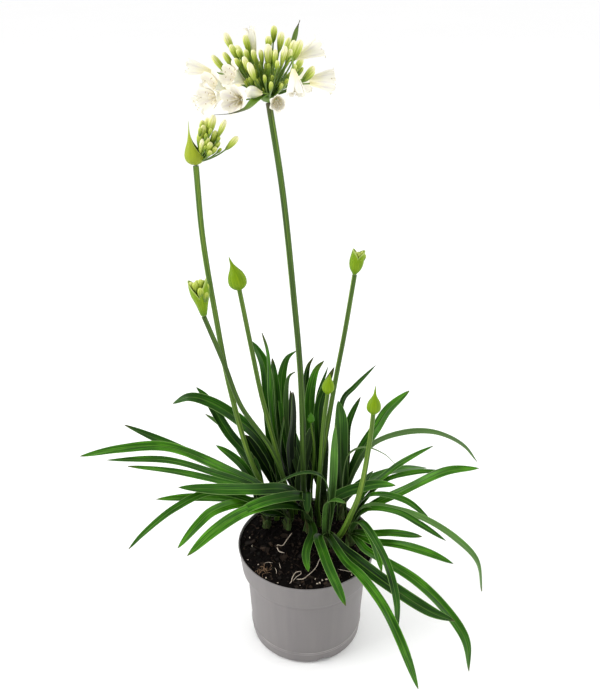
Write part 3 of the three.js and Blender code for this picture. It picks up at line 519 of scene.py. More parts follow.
for _ in range(COIR_STRANDS):
    x, y = np.array(COIR_TUFT) + rng.normal(0, 3.2, 2)
    heading, length = rng.uniform(0, 2 * np.pi), rng.uniform(2, 4)
    strand = [(x, y, 0.4), (x + length * math.cos(heading), y + length * math.sin(heading), 1.6)]
    strand.append((x + 2 * length * math.cos(heading + 0.6), y + 2 * length * math.sin(heading + 0.6), 0.5))
    soil_parts.append((*thread(strand, THREAD_RADIUS["coir"], 4), 3, {}))
new_piece("potting_mix", soil_parts, [potting_mix, bark, pale_root, coir], "soil")

# ------------------------------------------------------------------ leafy shoots
# Each shoot is a fan of fleshy strap leaves that clasp each other at a short green neck. A blade is
# channelled above and keeled below, with a fine pale margin, and it grows out of the neck at the soil.
NECK_RADIUS = 5.8
NECK_HEIGHT = 24
NECK = {"sides": 24, "ribs": 5, "rib_depth": 0.05}
NECK_FORM = ((-0.4, 0.9), (0, 0.95), (0.5, 0.75), (1, 0.4))  # shares of its height and of its radius
SHEATHS = 5  # dry sheaths round each neck
SHEATH_FOOT = 4.4  # from the neck's middle
SHEATH_HALF_WIDTH = 4.6
SHEATH_HEIGHT = (11, 24)  # least and most
SHEATH_FLARE = (0.5, 5)
SHEATH = {"fold": 0.45, "thick": 0.5, "keel": 0.1, "ripple": 0.3}
LEAF_FOOT = 4.6
LEAF_START = {"height": 16, "out": 2.5}  # where a blade leaves the neck
LEAF_STEP = 4
LEAF = {"thick": 0.75, "keel": 0.5, "ripple": 0.35}
CLASP = {"half_width": 3.2, "length": 16}  # how much wider a blade is where it clasps the neck
TWIST = 5  # degrees that a blade turns to and fro
RIPPLE_LENGTH = 13
ACROSS = np.linspace(1, -1, 11)  # places over a blade, from one margin to the other
VEIN_MM = 0.85
# Painted shade: where the clump darkens leaves and stalks, and how strongly it darkens the blades.
CLUMP = {"middle": (4, 36), "radius": 88, "height": 180}  # where the leaves shade each other
CLUMP_SHADE_STRENGTH = 0.5  # how much darker the blades are there
# Each shoot's place, then its leaves: width, turn in degrees, the points that the leaf passes, and what sets
# some apart: how much lighter, greyer or more dead they are, and how far the tip has dried. The leaves low at
# the back that are set darker carry painted shade.
SHOOTS = {
    "shoot_left": [
        (-50, 30),
        (13, -25, [(-62, 48, 163), (-71, 62, 214), (-99, 80, 245), (-126, 98, 285), (-139, 104, 297)]),
        (8, -25, [(-64, 62, 184), (-85, 78, 219), (-104, 90, 245), (-129, 98, 261)], {"grey": 0.6}),
        (11, -25, [(-61, 44, 179), (-70, 49, 197), (-82, 53, 215), (-98, 57, 229), (-113, 60, 239)]),
        (9, -10, [(-57, 44, 158), (-58, 56, 177), (-62, 60, 201), (-66, 64, 220)]),
    ],
    "shoot_mid_left": [
        (-24, 28),
        (12, -25, [(-54, 31, 192), (-97, 36, 216), (-153, 42, 244), (-222, 50, 276)]),
        (12, -38, [(-55, 22, 202), (-95, 17, 232), (-164, 10, 271), (-219, 6, 271), (-266, 4, 262)]),
        (9, -25, [(-59, 12, 208), (-111, 4, 238), (-163, -4, 262), (-231, -12, 268)], {"light": 0.12}),
        (9, -25, [(-59, 2, 211), (-101, -9, 235), (-152, -18, 256), (-203, -28, 271)]),
        (11, -20, [(-58, 8, 190), (-103, -4, 206), (-138, -16, 217), (-175, -28, 224)], {"light": 0.1}),
        (9, -30, [(-60, -8, 203), (-111, -14, 224), (-152, -38, 219), (-185, -62, 203), (-201, -75, 191)]),
        (12, -30, [(-52, 4, 178), (-75, -8, 202), (-109, -32, 210), (-125, -48, 204), (-147, -68, 186)],
            {"light": 0.3}),
    ],
    "shoot_centre": [
        (4, 20),
        (14, -35, [(-9, 16, 190), (-27, 6, 212), (-61, -6, 221), (-100, -20, 232), (-147, -33, 245)]),
        (14, -30, [(-8, 8, 181), (-40, -12, 203), (-74, -36, 211), (-106, -66, 208), (-132, -95, 199)],
            {"light": 0.1}),
        (13, -30, [(-2, 5, 200.5), (-38, -14, 213), (-67, -28, 212), (-80, -38, 209), (-88, -44, 206)],
            {"light": 0.05}),
        (10, 0, [(8, -4, 155), (2, -26, 155), (-1, -42, 151), (2, -58, 141)], {"light": 0.2}),
        (11, 0, [(-1, 14, 190), (0, 4, 208), (1, -11, 188)]),
    ],
    "shoot_back_left": [
        (-32, 58),
        (15, -40, [(-39, 67, 193), (-60, 70, 243), (-83, 73, 267), (-116, 77, 290), (-144, 80, 297),
            (-167, 84, 285)]),
        (16, -30, [(-42, 66, 181), (-57, 70, 209), (-77, 76, 244)], {"light": -0.3}),
        (16, -10, [(-40, 70, 194), (-46, 82, 262), (-52, 100, 330), (-62, 108, 350), (-70, 114, 359)]),
        (8, 15, [(-38, 66, 212), (-45, 80, 293), (-48, 92, 355), (-54, 96, 378)], {"tip": 3.0}),
        (13, 0, [(-46, 90, 190), (-72, 130, 212), (-102, 180, 206), (-120, 210, 198)]),
    ],
    "shoot_back": [
        (0, 66),
        (15, 0, [(-30, 84, 199), (-37, 100, 247), (-40, 110, 290), (-43, 118, 331)]),
        (13, 0, [(-21, 90, 211), (-31, 112, 275), (-31, 124, 306), (-24, 132, 325), (-12, 136, 333)]),
        (8, 0, [(-21, 84, 231), (-26, 98, 277), (-22, 108, 311), (-14, 112, 315)], {"grey": 0.4}),
        (12, 0, [(-16, 76, 189), (-18, 84, 246), (-20, 90, 301)], {"light": -0.3}),
        (17, 0, [(-15, 69, 172), (-22, 74, 227), (-18, 76, 263), (-17, 80, 305)], {"light": -0.36}),
        (12, 0, [(-20, 66, 172), (-32, 67, 206), (-33, 68, 240), (-28, 69, 275)], {"light": -0.3}),
        (14, 0, [(-7, 56, 180), (-4, 55, 209), (1, 56, 238), (6, 58, 268)], {"light": -0.36}),
        (14, 0, [(-8, 96, 190), (-24, 140, 212), (-44, 190, 196), (-56, 230, 150)]),
        (13, 0, [(4, 92, 196), (12, 134, 222), (22, 184, 210), (26, 226, 172)]),
    ],
    "shoot_back_right": [
        (24, 62),
        (10, 0, [(2, 80, 218), (-2, 98, 282), (2, 112, 323), (9, 116, 334)], {"light": -0.2, "tip": 1.0}),
        (13, 0, [(10, 76, 221), (4, 92, 287), (12, 104, 322), (22, 110, 332)], {"tip": 1.0}),
        (6, 0, [(18, 90, 211), (15, 120, 268), (28, 140, 306)]),
        (12, 10, [(17, 72, 231), (15, 80, 280), (21, 84, 303), (34, 92, 333)], {"light": -0.2, "tip": 1.0}),
        (12, 0, [(20, 54, 171), (21, 54, 206), (22, 57, 238), (23, 61, 262)], {"light": -0.36}),
        (13, 0, [(56, 84, 176), (76, 110, 202), (94, 138, 214), (110, 158, 224)]),
    ],
    "shoot_right_back": [
        (44, 46),
        (7, 0, [(43, 60, 201), (46, 90, 287), (60, 96, 302), (87, 108, 327)]),
        (19, 0, [(44, 50, 176), (42, 54, 249), (41, 56, 284), (38, 60, 304)],
            {"grey": 0.1, "light": 0.2, "tip": 0.0}),
        (9, 10, [(51, 62, 215), (52, 72, 260), (57, 76, 276), (67, 82, 296)]),
        (14, 25, [(55, 54, 193), (72, 62, 235), (88, 68, 261), (101, 74, 282), (127, 82, 305)]),
        (8, 25, [(62, 50, 208), (82, 54, 244), (118, 56, 260), (157, 56, 261), (193, 54, 244),
            (213, 50, 221)], {"grey": 0.5}),
        (3.5, 0, [(52, 44, 236), (70, 44, 247), (96, 42, 238), (111, 40, 223)],
            {"grey": 0.7, "dead": 0.15}),
        (13, 0, [(66, 70, 166), (92, 86, 172), (134, 110, 166), (168, 134, 150)]),
    ],
    "shoot_right": [
        (60, 22),
        (8, 20, [(71, 22, 193), (96, 24, 220), (112, 26, 234), (133, 28, 248), (153, 30, 259)]),
        (7, 20, [(73, 18, 187), (96, 22, 213), (129, 22, 225), (165, 22, 228)]),
        (12, 35, [(64, 14, 163), (78, 2, 189), (117, -8, 222), (163, -14, 254), (198, -18, 261)],
            {"light": 0.3}),
        (8, 20, [(70, 30, 201), (82, 34, 219)]),
        (8, 20, [(67, 7, 193), (85, -17, 223), (115, -31, 224), (143, -40, 204)]),
    ],
    "shoot_right_front": [
        (54, -2),
        (8, 20, [(68, -12, 200), (107, -34, 213), (137, -50, 212), (168, -66, 199), (192, -76, 176),
            (202, -80, 132)], {"grey": 0.5}),
        (8, 20, [(70, -18, 200), (105, -46, 219), (128, -56, 211), (157, -68, 197)]),
        (10, 25, [(79, -30, 174), (99, -46, 189), (130, -66, 201)]),
        (10, 25, [(79, -38, 169), (98, -56, 182), (116, -68, 188), (140, -80, 188), (163, -90, 183)]),
        (12, 15, [(70, -38, 156), (91, -62, 160), (123, -84, 153), (153, -104, 133), (178, -120, 100),
            (186, -128, 55)]),
        (9, 0, [(62, -18, 182), (71, -50, 197), (87, -96, 191), (98, -114, 155), (101, -122, 109)]),
        (10, 0, [(60, -16, 180), (67, -34, 191), (77, -62, 188), (85, -82, 163)]),
    ],
    "shoot_front": [
        (24, -6),
        (16, 15, [(46, -34, 150), (65, -60, 152), (102, -94, 146), (139, -118, 137), (161, -134, 141)],
            {"light": -0.12}),
        (11, 10, [(46, -54, 152), (62, -80, 155), (85, -116, 144), (102, -138, 117), (125, -150, 53)]),
        (12, 0, [(14, -24, 164), (18, -48, 165), (25, -80, 166), (38, -116, 159), (42, -124, 154)],
            {"light": 0.1, "tip": 0.3}),
        (12, 0, [(30, -5, 200), (32, -4, 238), (33, 4, 306)], {"light": 0.2, "grey": 0.35}),
        (13, 35, [(33, 0, 202), (48, 5, 209), (65, 8, 213), (86, 12, 215), (108, 14, 212)], {"light": 0.3}),
        (9, 0, [(23, -12, 190), (25, -16, 209), (34, -22, 218), (46, -28, 218)],
            {"grey": 0.2, "light": 0.5}),
        (7, 0, [(26, -8, 206), (21, -11, 239), (8, -14, 251), (-10, -18, 253), (-34, -22, 243)],
            {"light": -0.1}),
    ],
}
sheath_rng = np.random.default_rng(5)


def strap_width(share):
    """Width along a blade: narrow at the neck, parallel, then rounded off to a blunt point."""
    past = np.maximum(0, (share - 0.6) / 0.4)
    return np.minimum(1, 0.6 + 1.6 * share) * (1 - np.minimum(1, past) ** 3) ** 0.7


def channel(share):
    """How deep the blade is folded, for half its width: round the neck at first, then an open gutter."""
    return 0.24 + 0.5 * np.exp(-share / 0.12)


def blade(line, travelled, half, side, phase, fold, thick, keel, ripple, roll=0):
    """A thin channelled blade: points, faces and the attributes its material reads. Sizes are in mm."""
    across, above = axes_along(line, side)
    share = travelled / travelled[-1]
    turn = np.radians(roll * np.minimum(1, 2 * share) + TWIST * np.sin(5 * share + phase) * share)[:, None]
    right = across * np.cos(turn) + above * np.sin(turn)
    up = above * np.cos(turn) - across * np.sin(turn)
    half, fold = half[:, None], np.broadcast_to(fold, len(line))[:, None]
    rounded = np.sqrt(ACROSS**2 + 0.012) - 0.11
    wave = ripple * np.sin(travelled / RIPPLE_LENGTH + phase)[:, None] * ACROSS**2 * np.sign(ACROSS)
    height = half * fold * rounded + wave
    body = thick * (1 - 0.6 * ACROSS**2)[None, :] * np.minimum(1, 0.3 + half / 2)
    rib = keel * np.exp(-((ACROSS / 0.16) ** 2))[None, :] * np.minimum(1, half / 3)
    reached = line[:, None] + right[:, None] * (half * ACROSS[None, :])[..., None]
    top = reached + up[:, None] * (height + body / 2 - 0.3 * rib)[..., None]
    under = reached + up[:, None] * (height - body / 2 - rib)[..., None]
    points, faces = skin(np.concatenate([top, under[:, ::-1]], 1))
    both = np.concatenate([ACROSS, ACROSS[::-1]])
    values = {
        "edge": np.tile(np.abs(both), len(line)),
        "across": (both[None, :] * half).ravel(),
        "share": np.repeat(share, len(both)),
        "along": np.repeat(travelled, len(both)),
        "under": np.tile(np.repeat([0.0, 1.0], len(ACROSS)), len(line)),
    }
    return points, faces, values


def outward_side(line):
    """The level direction square to where a blade leads, seen from above."""
    lead = line[-1] + line[len(line) // 2] - 2 * line[0]
    side = np.cross([0, 0, 1], lead)
    return side / np.linalg.norm(side)


def shade_in_clump(points):
    """Painted shade at each point: 1 in the middle of the clump at the soil, 0 at its outside and over its
    top.
    """
    away = np.linalg.norm(points[:, :2] - CLUMP["middle"], axis=1) / CLUMP["radius"]
    up = (points[:, 2] - SOIL_TOP) / CLUMP["height"]
    return np.clip(1 - away, 0, 1) ** 0.6 * np.clip(1.4 - 1.4 * up, 0, 1)


def shoot_parts(at, leaves):
    """A shoot's neck, the dry sheaths round it and its blades."""
    x, y = at
    neck_line, _ = route([(x, y, SOIL_TOP + up) for up in (-12, 4, NECK_HEIGHT)], 2)
    rise = (neck_line[:, 2] - SOIL_TOP) / NECK_HEIGHT
    neck_radii = NECK_RADIUS * np.interp(rise, *zip(*NECK_FORM))
    points, faces, _ = tube(neck_line, neck_radii, **NECK)
    parts = [(points, faces, 1, {})]
    soil = np.array([x, y, SOIL_TOP - 1.0])
    for k in range(SHEATHS):
        heading = 2 * math.pi * (k + sheath_rng.uniform(-0.3, 0.3)) / SHEATHS
        out = np.array([math.cos(heading), math.sin(heading), 0])
        foot = soil + SHEATH_FOOT * out
        height, flare = sheath_rng.uniform(*SHEATH_HEIGHT), sheath_rng.uniform(*SHEATH_FLARE)
        top = foot + flare * out + np.array([0, 0, height])
        line, travelled = route([foot, foot + 0.8 * out + np.array([0, 0, 0.55 * height]), top], 1.5)
        share = travelled / travelled[-1]
        half = np.maximum(0.3, SHEATH_HALF_WIDTH * np.sqrt(np.maximum(0, 1 - share**1.6)))
        points, faces, values = blade(line, travelled, half, outward_side(line), k, **SHEATH)
        dryness = sheath_rng.uniform()
        # The sheaths stand low in the clump, so they get a fixed painted shade.
        values.update({"lot": dryness, "grey": 0.3, "dead": 0.7 * dryness, "deep": 0.8, "tip": 6.0 * dryness})
        parts.append((points, faces, 0, values))
    for width, roll, passed, *look in leaves:
        start = np.array([x, y, SOIL_TOP + LEAF_START["height"]], float)
        away = np.array(passed[0], float) - start
        away[2] = 0
        reach = max(np.linalg.norm(away), 1e-6)
        start += away * min(1, LEAF_START["out"] / reach)
        foot = soil + away * min(1, LEAF_FOOT / reach)
        upper, _ = route([start, *passed], LEAF_STEP)
        side = outward_side(upper)
        line, travelled = route([foot, start, *passed], LEAF_STEP)
        sheath = travelled[-1] - LEAF_STEP * (len(upper) - 1)
        share = np.clip((travelled - sheath) / (travelled[-1] - sheath), 0, 1)
        clasp = CLASP["half_width"] * np.exp(-travelled / CLASP["length"])
        half = np.maximum(0.35, width * strap_width(share) / 2 + clasp)
        lot = rng.uniform()
        fold = channel(share)
        points, faces, values = blade(line, travelled, half, side, 6 * lot, fold, roll=roll, **LEAF)
        values.update({"lot": lot, "tip": 0.5 * rng.uniform(), "deep": shade_in_clump(points)})
        values.update({"light": 0.0, "grey": 0.0, "dead": 0.0})
        for own in look:
            values.update(own)
        parts.append((points, faces, 0, values))
    return parts


# Living leaf: a waxy cuticle over mid-green flesh, with parallel veins a little under a millimetre apart, a
# hair-thin pale margin and midrib, a duller grey-green underside, an olive base with painted shade where
# little light reaches, and on old blades a tip that has dried brown. Deep in the clump, painted shade darkens
# all of it.
leaf_flesh, tree = new_material("waxy_strap_leaf", Roughness=0.36, IOR=1.4, Specular_IOR_Level=0.22)
names = ("edge", "across", "share", "along", "under", "light", "grey", "dead", "tip", "lot", "deep")
read = {name: add(tree, "Attribute", attribute_name=name).outputs["Fac"] for name in names}
grown = add(tree, "Math", {0: read["along"], 1: 0.02}, operation="MULTIPLY")
lot_far = add(tree, "Math", {0: read["lot"], 1: 97}, operation="MULTIPLY")
fibre_place = add(tree, "CombineXYZ", {0: read["across"], 1: grown, 2: lot_far})
veins = add(tree, "TexNoise", {"Vector": fibre_place, "Scale": 1 / VEIN_MM, "Detail": 2.0})
patch_place = add(tree, "CombineXYZ", {0: read["across"], 1: read["along"], 2: lot_far})
patches = add(tree, "TexNoise", {"Vector": patch_place, "Scale": 1 / 30, "Detail": 2.0})
patched = add(tree, "MapRange", {"Value": patches, "From": (0.3, 0.7), "To": (-0.11, 0.11)})
own = add(tree, "MapRange", {"Value": read["lot"], "To": (0.22, 0.56)})
lighter = add(tree, "MapRange", {"Value": veins, "From": (0.33, 0.67), "To": (-0.23, 0.23)})
for more in (patched, own, read["light"]):
    lighter = add(tree, "Math", {0: lighter, 1: more})
# Painted shade: the blades are darker low in the clump.
shade_darkening = add(tree, "Math", {0: read["deep"], 1: CLUMP_SHADE_STRENGTH}, operation="MULTIPLY")
lighter = add(tree, "Math", {0: lighter, 1: shade_darkening}, operation="SUBTRACT")
tint = add(tree, "ValToRGB", {0: lighter}, stops=((0, "#061E01"), (0.5, "#295B05"), (1, "#5C9F1E")))
rib_line = add(tree, "MapRange", {"Value": read["edge"], "From": (0.02, 0.1), "To": (0.35, 0)})
# The blade's base is olive, and darker with painted shade where little light reaches.
base_olive_and_shade = add(tree, "MapRange", {"Value": read["along"], "From": (4, 40), "To": (0.65, 0)})
dull = add(tree, "Math", {0: read["under"], 1: 0.2}, operation="MULTIPLY")
dull = add(tree, "Math", {0: dull, 1: read["grey"]}, use_clamp=True)
margin = add(tree, "MapRange", {"Value": read["edge"], "From": (0.88, 0.98), "To": (0, 0.75)})
tip_start = add(tree, "MapRange", {"Value": read["tip"], "To": (0.99, 0.9)})
tip_share = add(tree, "MapRange", {"Value": read["share"], "From": (tip_start, 1), "To": (0, 0.6)})
dried = add(tree, "Math", {0: tip_share, 1: read["dead"]}, use_clamp=True)
# Painted shade: deep in the clump the whole blade is mixed towards near black.
shade_cover = add(tree, "Math", {0: read["deep"], 1: 0.6}, operation="MULTIPLY")
for share, colour in ((rib_line, "#6F9440"), (base_olive_and_shade, "#3F5C1E"), (dull, "#62804A"), (margin, "#86A85F"),
                      (dried, "#5C4C30"), (shade_cover, "#081604")):
    tint = add(tree, "Mix", {0: share, 6: tint, 7: colour})
feed(tree, Base_Color=tint, Roughness=add(tree, "MapRange", {"Value": read["under"], "To": (0.36, 0.55)}),
     Normal=add(tree, "Bump", {"Height": veins, "Strength": 0.35, "Distance": 0.25 * MM}))

# The neck is made of old leaf bases, green, with papery strips where they have dried. Its darkest green is
# painted shade, as the neck stands low in the clump.
neck_skin, tree = new_material("sheathed_neck", Roughness=0.5)
streak = add(tree, "Mapping", {"Vector": add(tree, "TexCoord").outputs["Object"], "Scale": (1, 1, 0.12)})
papery = add(tree, "TexNoise", {"Vector": streak, "Scale": 1 / (2.2 * MM), "Detail": 3.0})
strips_and_shade = ((0.35, "#161E0A"), (0.62, "#3E4C22"), (0.78, "#8E8458"))
feed(tree, Base_Color=add(tree, "ValToRGB", {0: papery}, stops=strips_and_shade))

for name, (at, *leaves) in SHOOTS.items():
    new_piece(name + "_leaves", shoot_parts(at, leaves), [leaf_flesh, neck_skin], name)

# ------------------------------------------------------------------ flower stems
# A leafless stalk for each head, firm and a little flattened, with fine lengthwise ribs. On the four
# youngest the head is still shut in its spathe, two green bracts grown together into a beaked bud.
HOLE_DEPTH = 24
STEM_UPRIGHT = 10
STALK = {"sides": 30, "flat": 0.92, "ribs": 10, "rib_depth": 0.025}
SHUT_SPATHE = {"sides": 40, "flat": 0.9, "ribs": 2, "rib_depth": 0.03}
# From the end of its beak to its foot: shares of the body's length past the beak, and of its radius.
SHUT_SPATHE_FORM = ((0.12, 0.46), (0.35, 0.82), (0.6, 1), (0.8, 0.94), (0.94, 0.64))
FLUSH_LENGTH = 18  # the stalk's top is brown-purple under the large head
# Each stalk's radius at the soil and at its head, how light it is, and the points it passes. A spathe has a
# radius, the length of its body and of its beak, and its lean.
STEMS = {
    "stem_main": {"radii": (3.7, 3.1), "light": -0.1, "flush": 0.8,
        "points": [(-3, 44), (-4, 41, 218), (-7, 38, 346), (-16, 34, 466), (-26, 30, 574), (-38, 25, 661)]},
    "stem_half_open": {"radii": (3.2, 3.1), "light": 0.1,
        "points": [(-38, 42), (-68, 40, 228), (-91, 46, 332), (-103, 49, 421), (-113, 52, 514),
            (-116, 55, 592)]},
    "stem_left_bursting": {"radii": (3.2, 2.7), "light": -0.1,
        "points": [(-19, 44), (-28, 34, 205), (-44, 26, 260), (-76, 16, 324), (-93, 8, 387),
            (-110, 0, 445)]},
    "stem_right_bursting": {"radii": (3.2, 2.6),
        "points": [(14, 50), (16, 52, 191), (23, 52, 252), (33, 48, 334), (43, 42, 408), (51, 35, 478)]},
    "stem_tall_bud": {"radii": (3.2, 2.6), "light": 0.1, "spathe": (10, 28, 11, (-10, 0)),
        "points": [(-14, 56), (-25, 54, 174), (-38, 52, 240), (-54, 50, 318), (-64, 48, 382),
            (-75, 45, 456)]},
    "stem_short_bud": {"radii": (2.8, 2.3), "light": 0.05, "spathe": (6.6, 20, 4, (2, 0)),
        "points": [(16, 30), (14, 26, 172), (16, 18, 228), (19, 8, 302), (23, 0, 351)]},
    "stem_beaked_bud": {"radii": (4, 2.5), "light": 0.12, "spathe": (7.6, 22, 12, (1, 0)),
        "points": [(38, -7), (44, -17, 168), (52, -24, 198), (61, -27, 232), (70, -28, 309),
            (72, -28, 342)]},
    "stem_tiny_bud": {"radii": (1.6, 1.3), "light": 0.1, "spathe": (4.4, 12, 2, (0, 0)), "young": 1.0,
        "points": [(12, 68), (8, 64, 150), (9, 52, 220), (9, 45, 251), (5, 40, 286)]},
}


def smooth_profile(stations, at):
    """Radii at the given distances, on a smooth curve through (distance, radius) stations."""
    curve, _ = route([(distance, radius, 0) for distance, radius in stations], 0.5)
    return np.interp(at, curve[:, 0], curve[:, 1])


def stem_parts(radii, points, light=0.0, spathe=None, young=0.0, flush=0.0):
    """A stalk from the soil to its head, and where it has one the closed spathe that ends it."""
    (x, y), *rest = points
    passed = [(x, y, SOIL_TOP + up) for up in (0.3 - HOLE_DEPTH, 0, STEM_UPRIGHT)] + rest
    radius, body, beak, lean = spathe or (0, 0, 0, (0, 0))
    if spathe:
        top = np.array(passed[-1], float)
        passed.append(top + (0.3 * lean[0], 0.3 * lean[1], 0.6 * body))
        passed.append(top + (*lean, body + beak))
    line, travelled = route(passed, 2.5)
    whole = body + beak
    from_tip = travelled[-1] - travelled
    cut = int(np.argmax(from_tip <= whole + 3)) if spathe else len(line)
    stalk_radii = np.interp(travelled, [0, travelled[-1] - whole], radii)[: cut + 2]
    made, faces, turn = tube(line[: cut + 2], stalk_radii, **STALK)
    along = np.repeat(travelled[: cut + 2], STALK["sides"])
    values = {"round": turn, "light": light, "along": along, "deep": shade_in_clump(made)}
    if not spathe:
        values["flush"] = flush * np.repeat(np.clip(1 - from_tip / FLUSH_LENGTH, 0, 1), STALK["sides"])
        return [(made, faces, 0, values)]
    parts = [(made, faces, 0, values)]
    fine, gone = route(line[cut:], 0.8)
    left = gone[-1] - gone
    stations = [(0, 0.35), (0.5 * beak, 0.1 * radius + 0.3), (0.85 * beak, 0.22 * radius)]
    stations += [(beak + far * body, size * radius) for far, size in SHUT_SPATHE_FORM]
    stations += [(whole + 1, 1.05 * radii[1]), (whole + 4, radii[1])]
    made, faces, turn = tube(fine, smooth_profile(stations, left), **SHUT_SPATHE)
    swell = np.repeat(1 - left / (whole + 3), SHUT_SPATHE["sides"])
    parts.append((made, faces, 1, {"round": turn, "swell": swell, "young": young}))
    return parts


# Firm green stalk: a faint bloom of wax over mid green, with paler lengthwise ribs about 1.5 mm apart.
# Low in the clump it is darkened with painted shade.
stalk, tree = new_material("ribbed_green_stalk", Roughness=0.45, IOR=1.33)
names = ("along", "round", "light", "deep", "flush")
read = {name: add(tree, "Attribute", attribute_name=name).outputs["Fac"] for name in names}
bearing = add(tree, "Math", {0: read["round"], 1: 2 * math.pi}, operation="MULTIPLY")
ribs_round = add(tree, "Math", {0: bearing, 1: 12}, operation="MULTIPLY")
rib_wave = add(tree, "Math", {0: ribs_round}, operation="COSINE")
level, square_to_it = (add(tree, "Math", {0: bearing}, operation=wave) for wave in ("COSINE", "SINE"))
grown = add(tree, "Math", {0: read["along"], 1: 0.006}, operation="MULTIPLY")
on_stalk = add(tree, "CombineXYZ", {0: level, 1: square_to_it, 2: grown})
streaks = add(tree, "TexNoise", {"Vector": on_stalk, "Scale": 1.7, "Detail": 2.0})
streaked = add(tree, "MapRange", {"Value": streaks, "From": (0.3, 0.7), "To": (0.12, 0.82)})
lighter = add(tree, "MapRange", {"Value": rib_wave, "From": (-1, 1), "To": (-0.08, 0.08)})
for more in (streaked, read["light"]):
    lighter = add(tree, "Math", {0: lighter, 1: more})
# Painted shade: the stalk is darker low in the clump.
shade_darkening = add(tree, "Math", {0: read["deep"], 1: 0.45}, operation="MULTIPLY")
lighter = add(tree, "Math", {0: lighter, 1: shade_darkening}, operation="SUBTRACT")
greens = add(tree, "ValToRGB", {0: lighter}, stops=((0, "#1C300A"), (0.5, "#4A6A1C"), (1, "#86A03A")))
feed(tree, Base_Color=add(tree, "Mix", {0: read["flush"], 6: greens, 7: "#4A3A30"}),
     Normal=add(tree, "Bump", {"Height": rib_wave, "Strength": 0.15, "Distance": 0.15 * MM}))

# Spathe: thin, yellow-green and finely veined, darker at its foot, with a pale rim where it has split. An
# old one is yellower, and a young one is a deep green.
spathe_skin, tree = new_material("veined_spathe", Roughness=0.5, IOR=1.33, Specular_IOR_Level=0.35)
names = ("round", "swell", "rim", "young", "yellow")
read = {name: add(tree, "Attribute", attribute_name=name).outputs["Fac"] for name in names}
drawn = add(tree, "CombineXYZ", {0: read["round"], 1: read["swell"]})
stretched = add(tree, "Mapping", {"Vector": drawn, "Scale": (34, 1.6, 1)})
veins = add(tree, "TexNoise", {"Vector": stretched, "Scale": 1.0, "Detail": 3.0})
tint = add(tree, "ValToRGB", {0: veins}, stops=((0.3, "#5C8002"), (0.7, "#809C08")))
foot_dark = add(tree, "MapRange", {"Value": read["swell"], "From": (0, 0.25), "To": (0.7, 0)})
pale_rim = add(tree, "MapRange", {"Value": read["rim"], "From": (0.9, 1), "To": (0, 0.7)})
for share, colour in ((foot_dark, "#4C7618"), (read["yellow"], "#A8AC34"), (read["young"], "#3A6A10"),
                      (pale_rim, "#B9C878")):
    tint = add(tree, "Mix", {0: share, 6: tint, 7: colour})
feed(tree, Base_Color=tint,
     Normal=add(tree, "Bump", {"Height": veins, "Strength": 0.3, "Distance": 0.2 * MM}))

for name, stem in STEMS.items():
    new_piece(name + "_stalk", stem_parts(**stem), [stalk, spathe_skin], name)

# ------------------------------------------------------------------ opened heads
# Pedicels spring from a small flattened receptacle and carry club-shaped buds, green at first and cream
# when they are about to open. The split spathe that held them still stands round the small heads, and
# beside the large one its two halves hang or stand as bracts.
BUD = {"sides": 15, "ribs": 3, "rib_depth": 0.08}  # its ribs are the outer petals' backs
BUD_FORM = ((0, 0.15), (0.015, 0.4), (0.07, 0.68), (0.2, 0.92), (0.38, 1), (0.65, 0.84), (0.88, 0.55))
PEDICEL_RADIUS = 0.75
PEDICEL_SIDES = 12
CORE_FLATNESS = 0.6
CORE_RINGS = 12
CORE_SIDES = 28
BRACT = {"fold": 0.35, "thick": 0.6, "keel": 0.3, "ripple": 0.2}
BRACT_TAIL = 0.2  # of its width
SPATHE_SIDES = 72
SPATHE_RINGS = 28
SPATHE_THICKNESS = 0.6
SPATHE_TIP = 0.8  # radius at which a spathe's lobe ends
PLEATS = {"count": 9, "depth": 0.12}
GAP = 0.3  # between pieces that touch on the plant
# Tiny buds: how far they lean at most, in degrees, then the least and what chance adds to it, of how far they
# reach, their length, their radius and how ripe they are.
YOUNG = {"lean": 60, "reach": (15, 34), "length": (7, 9), "radius": (1.0, 1.2), "ripe": (-0.5, 0.4)}
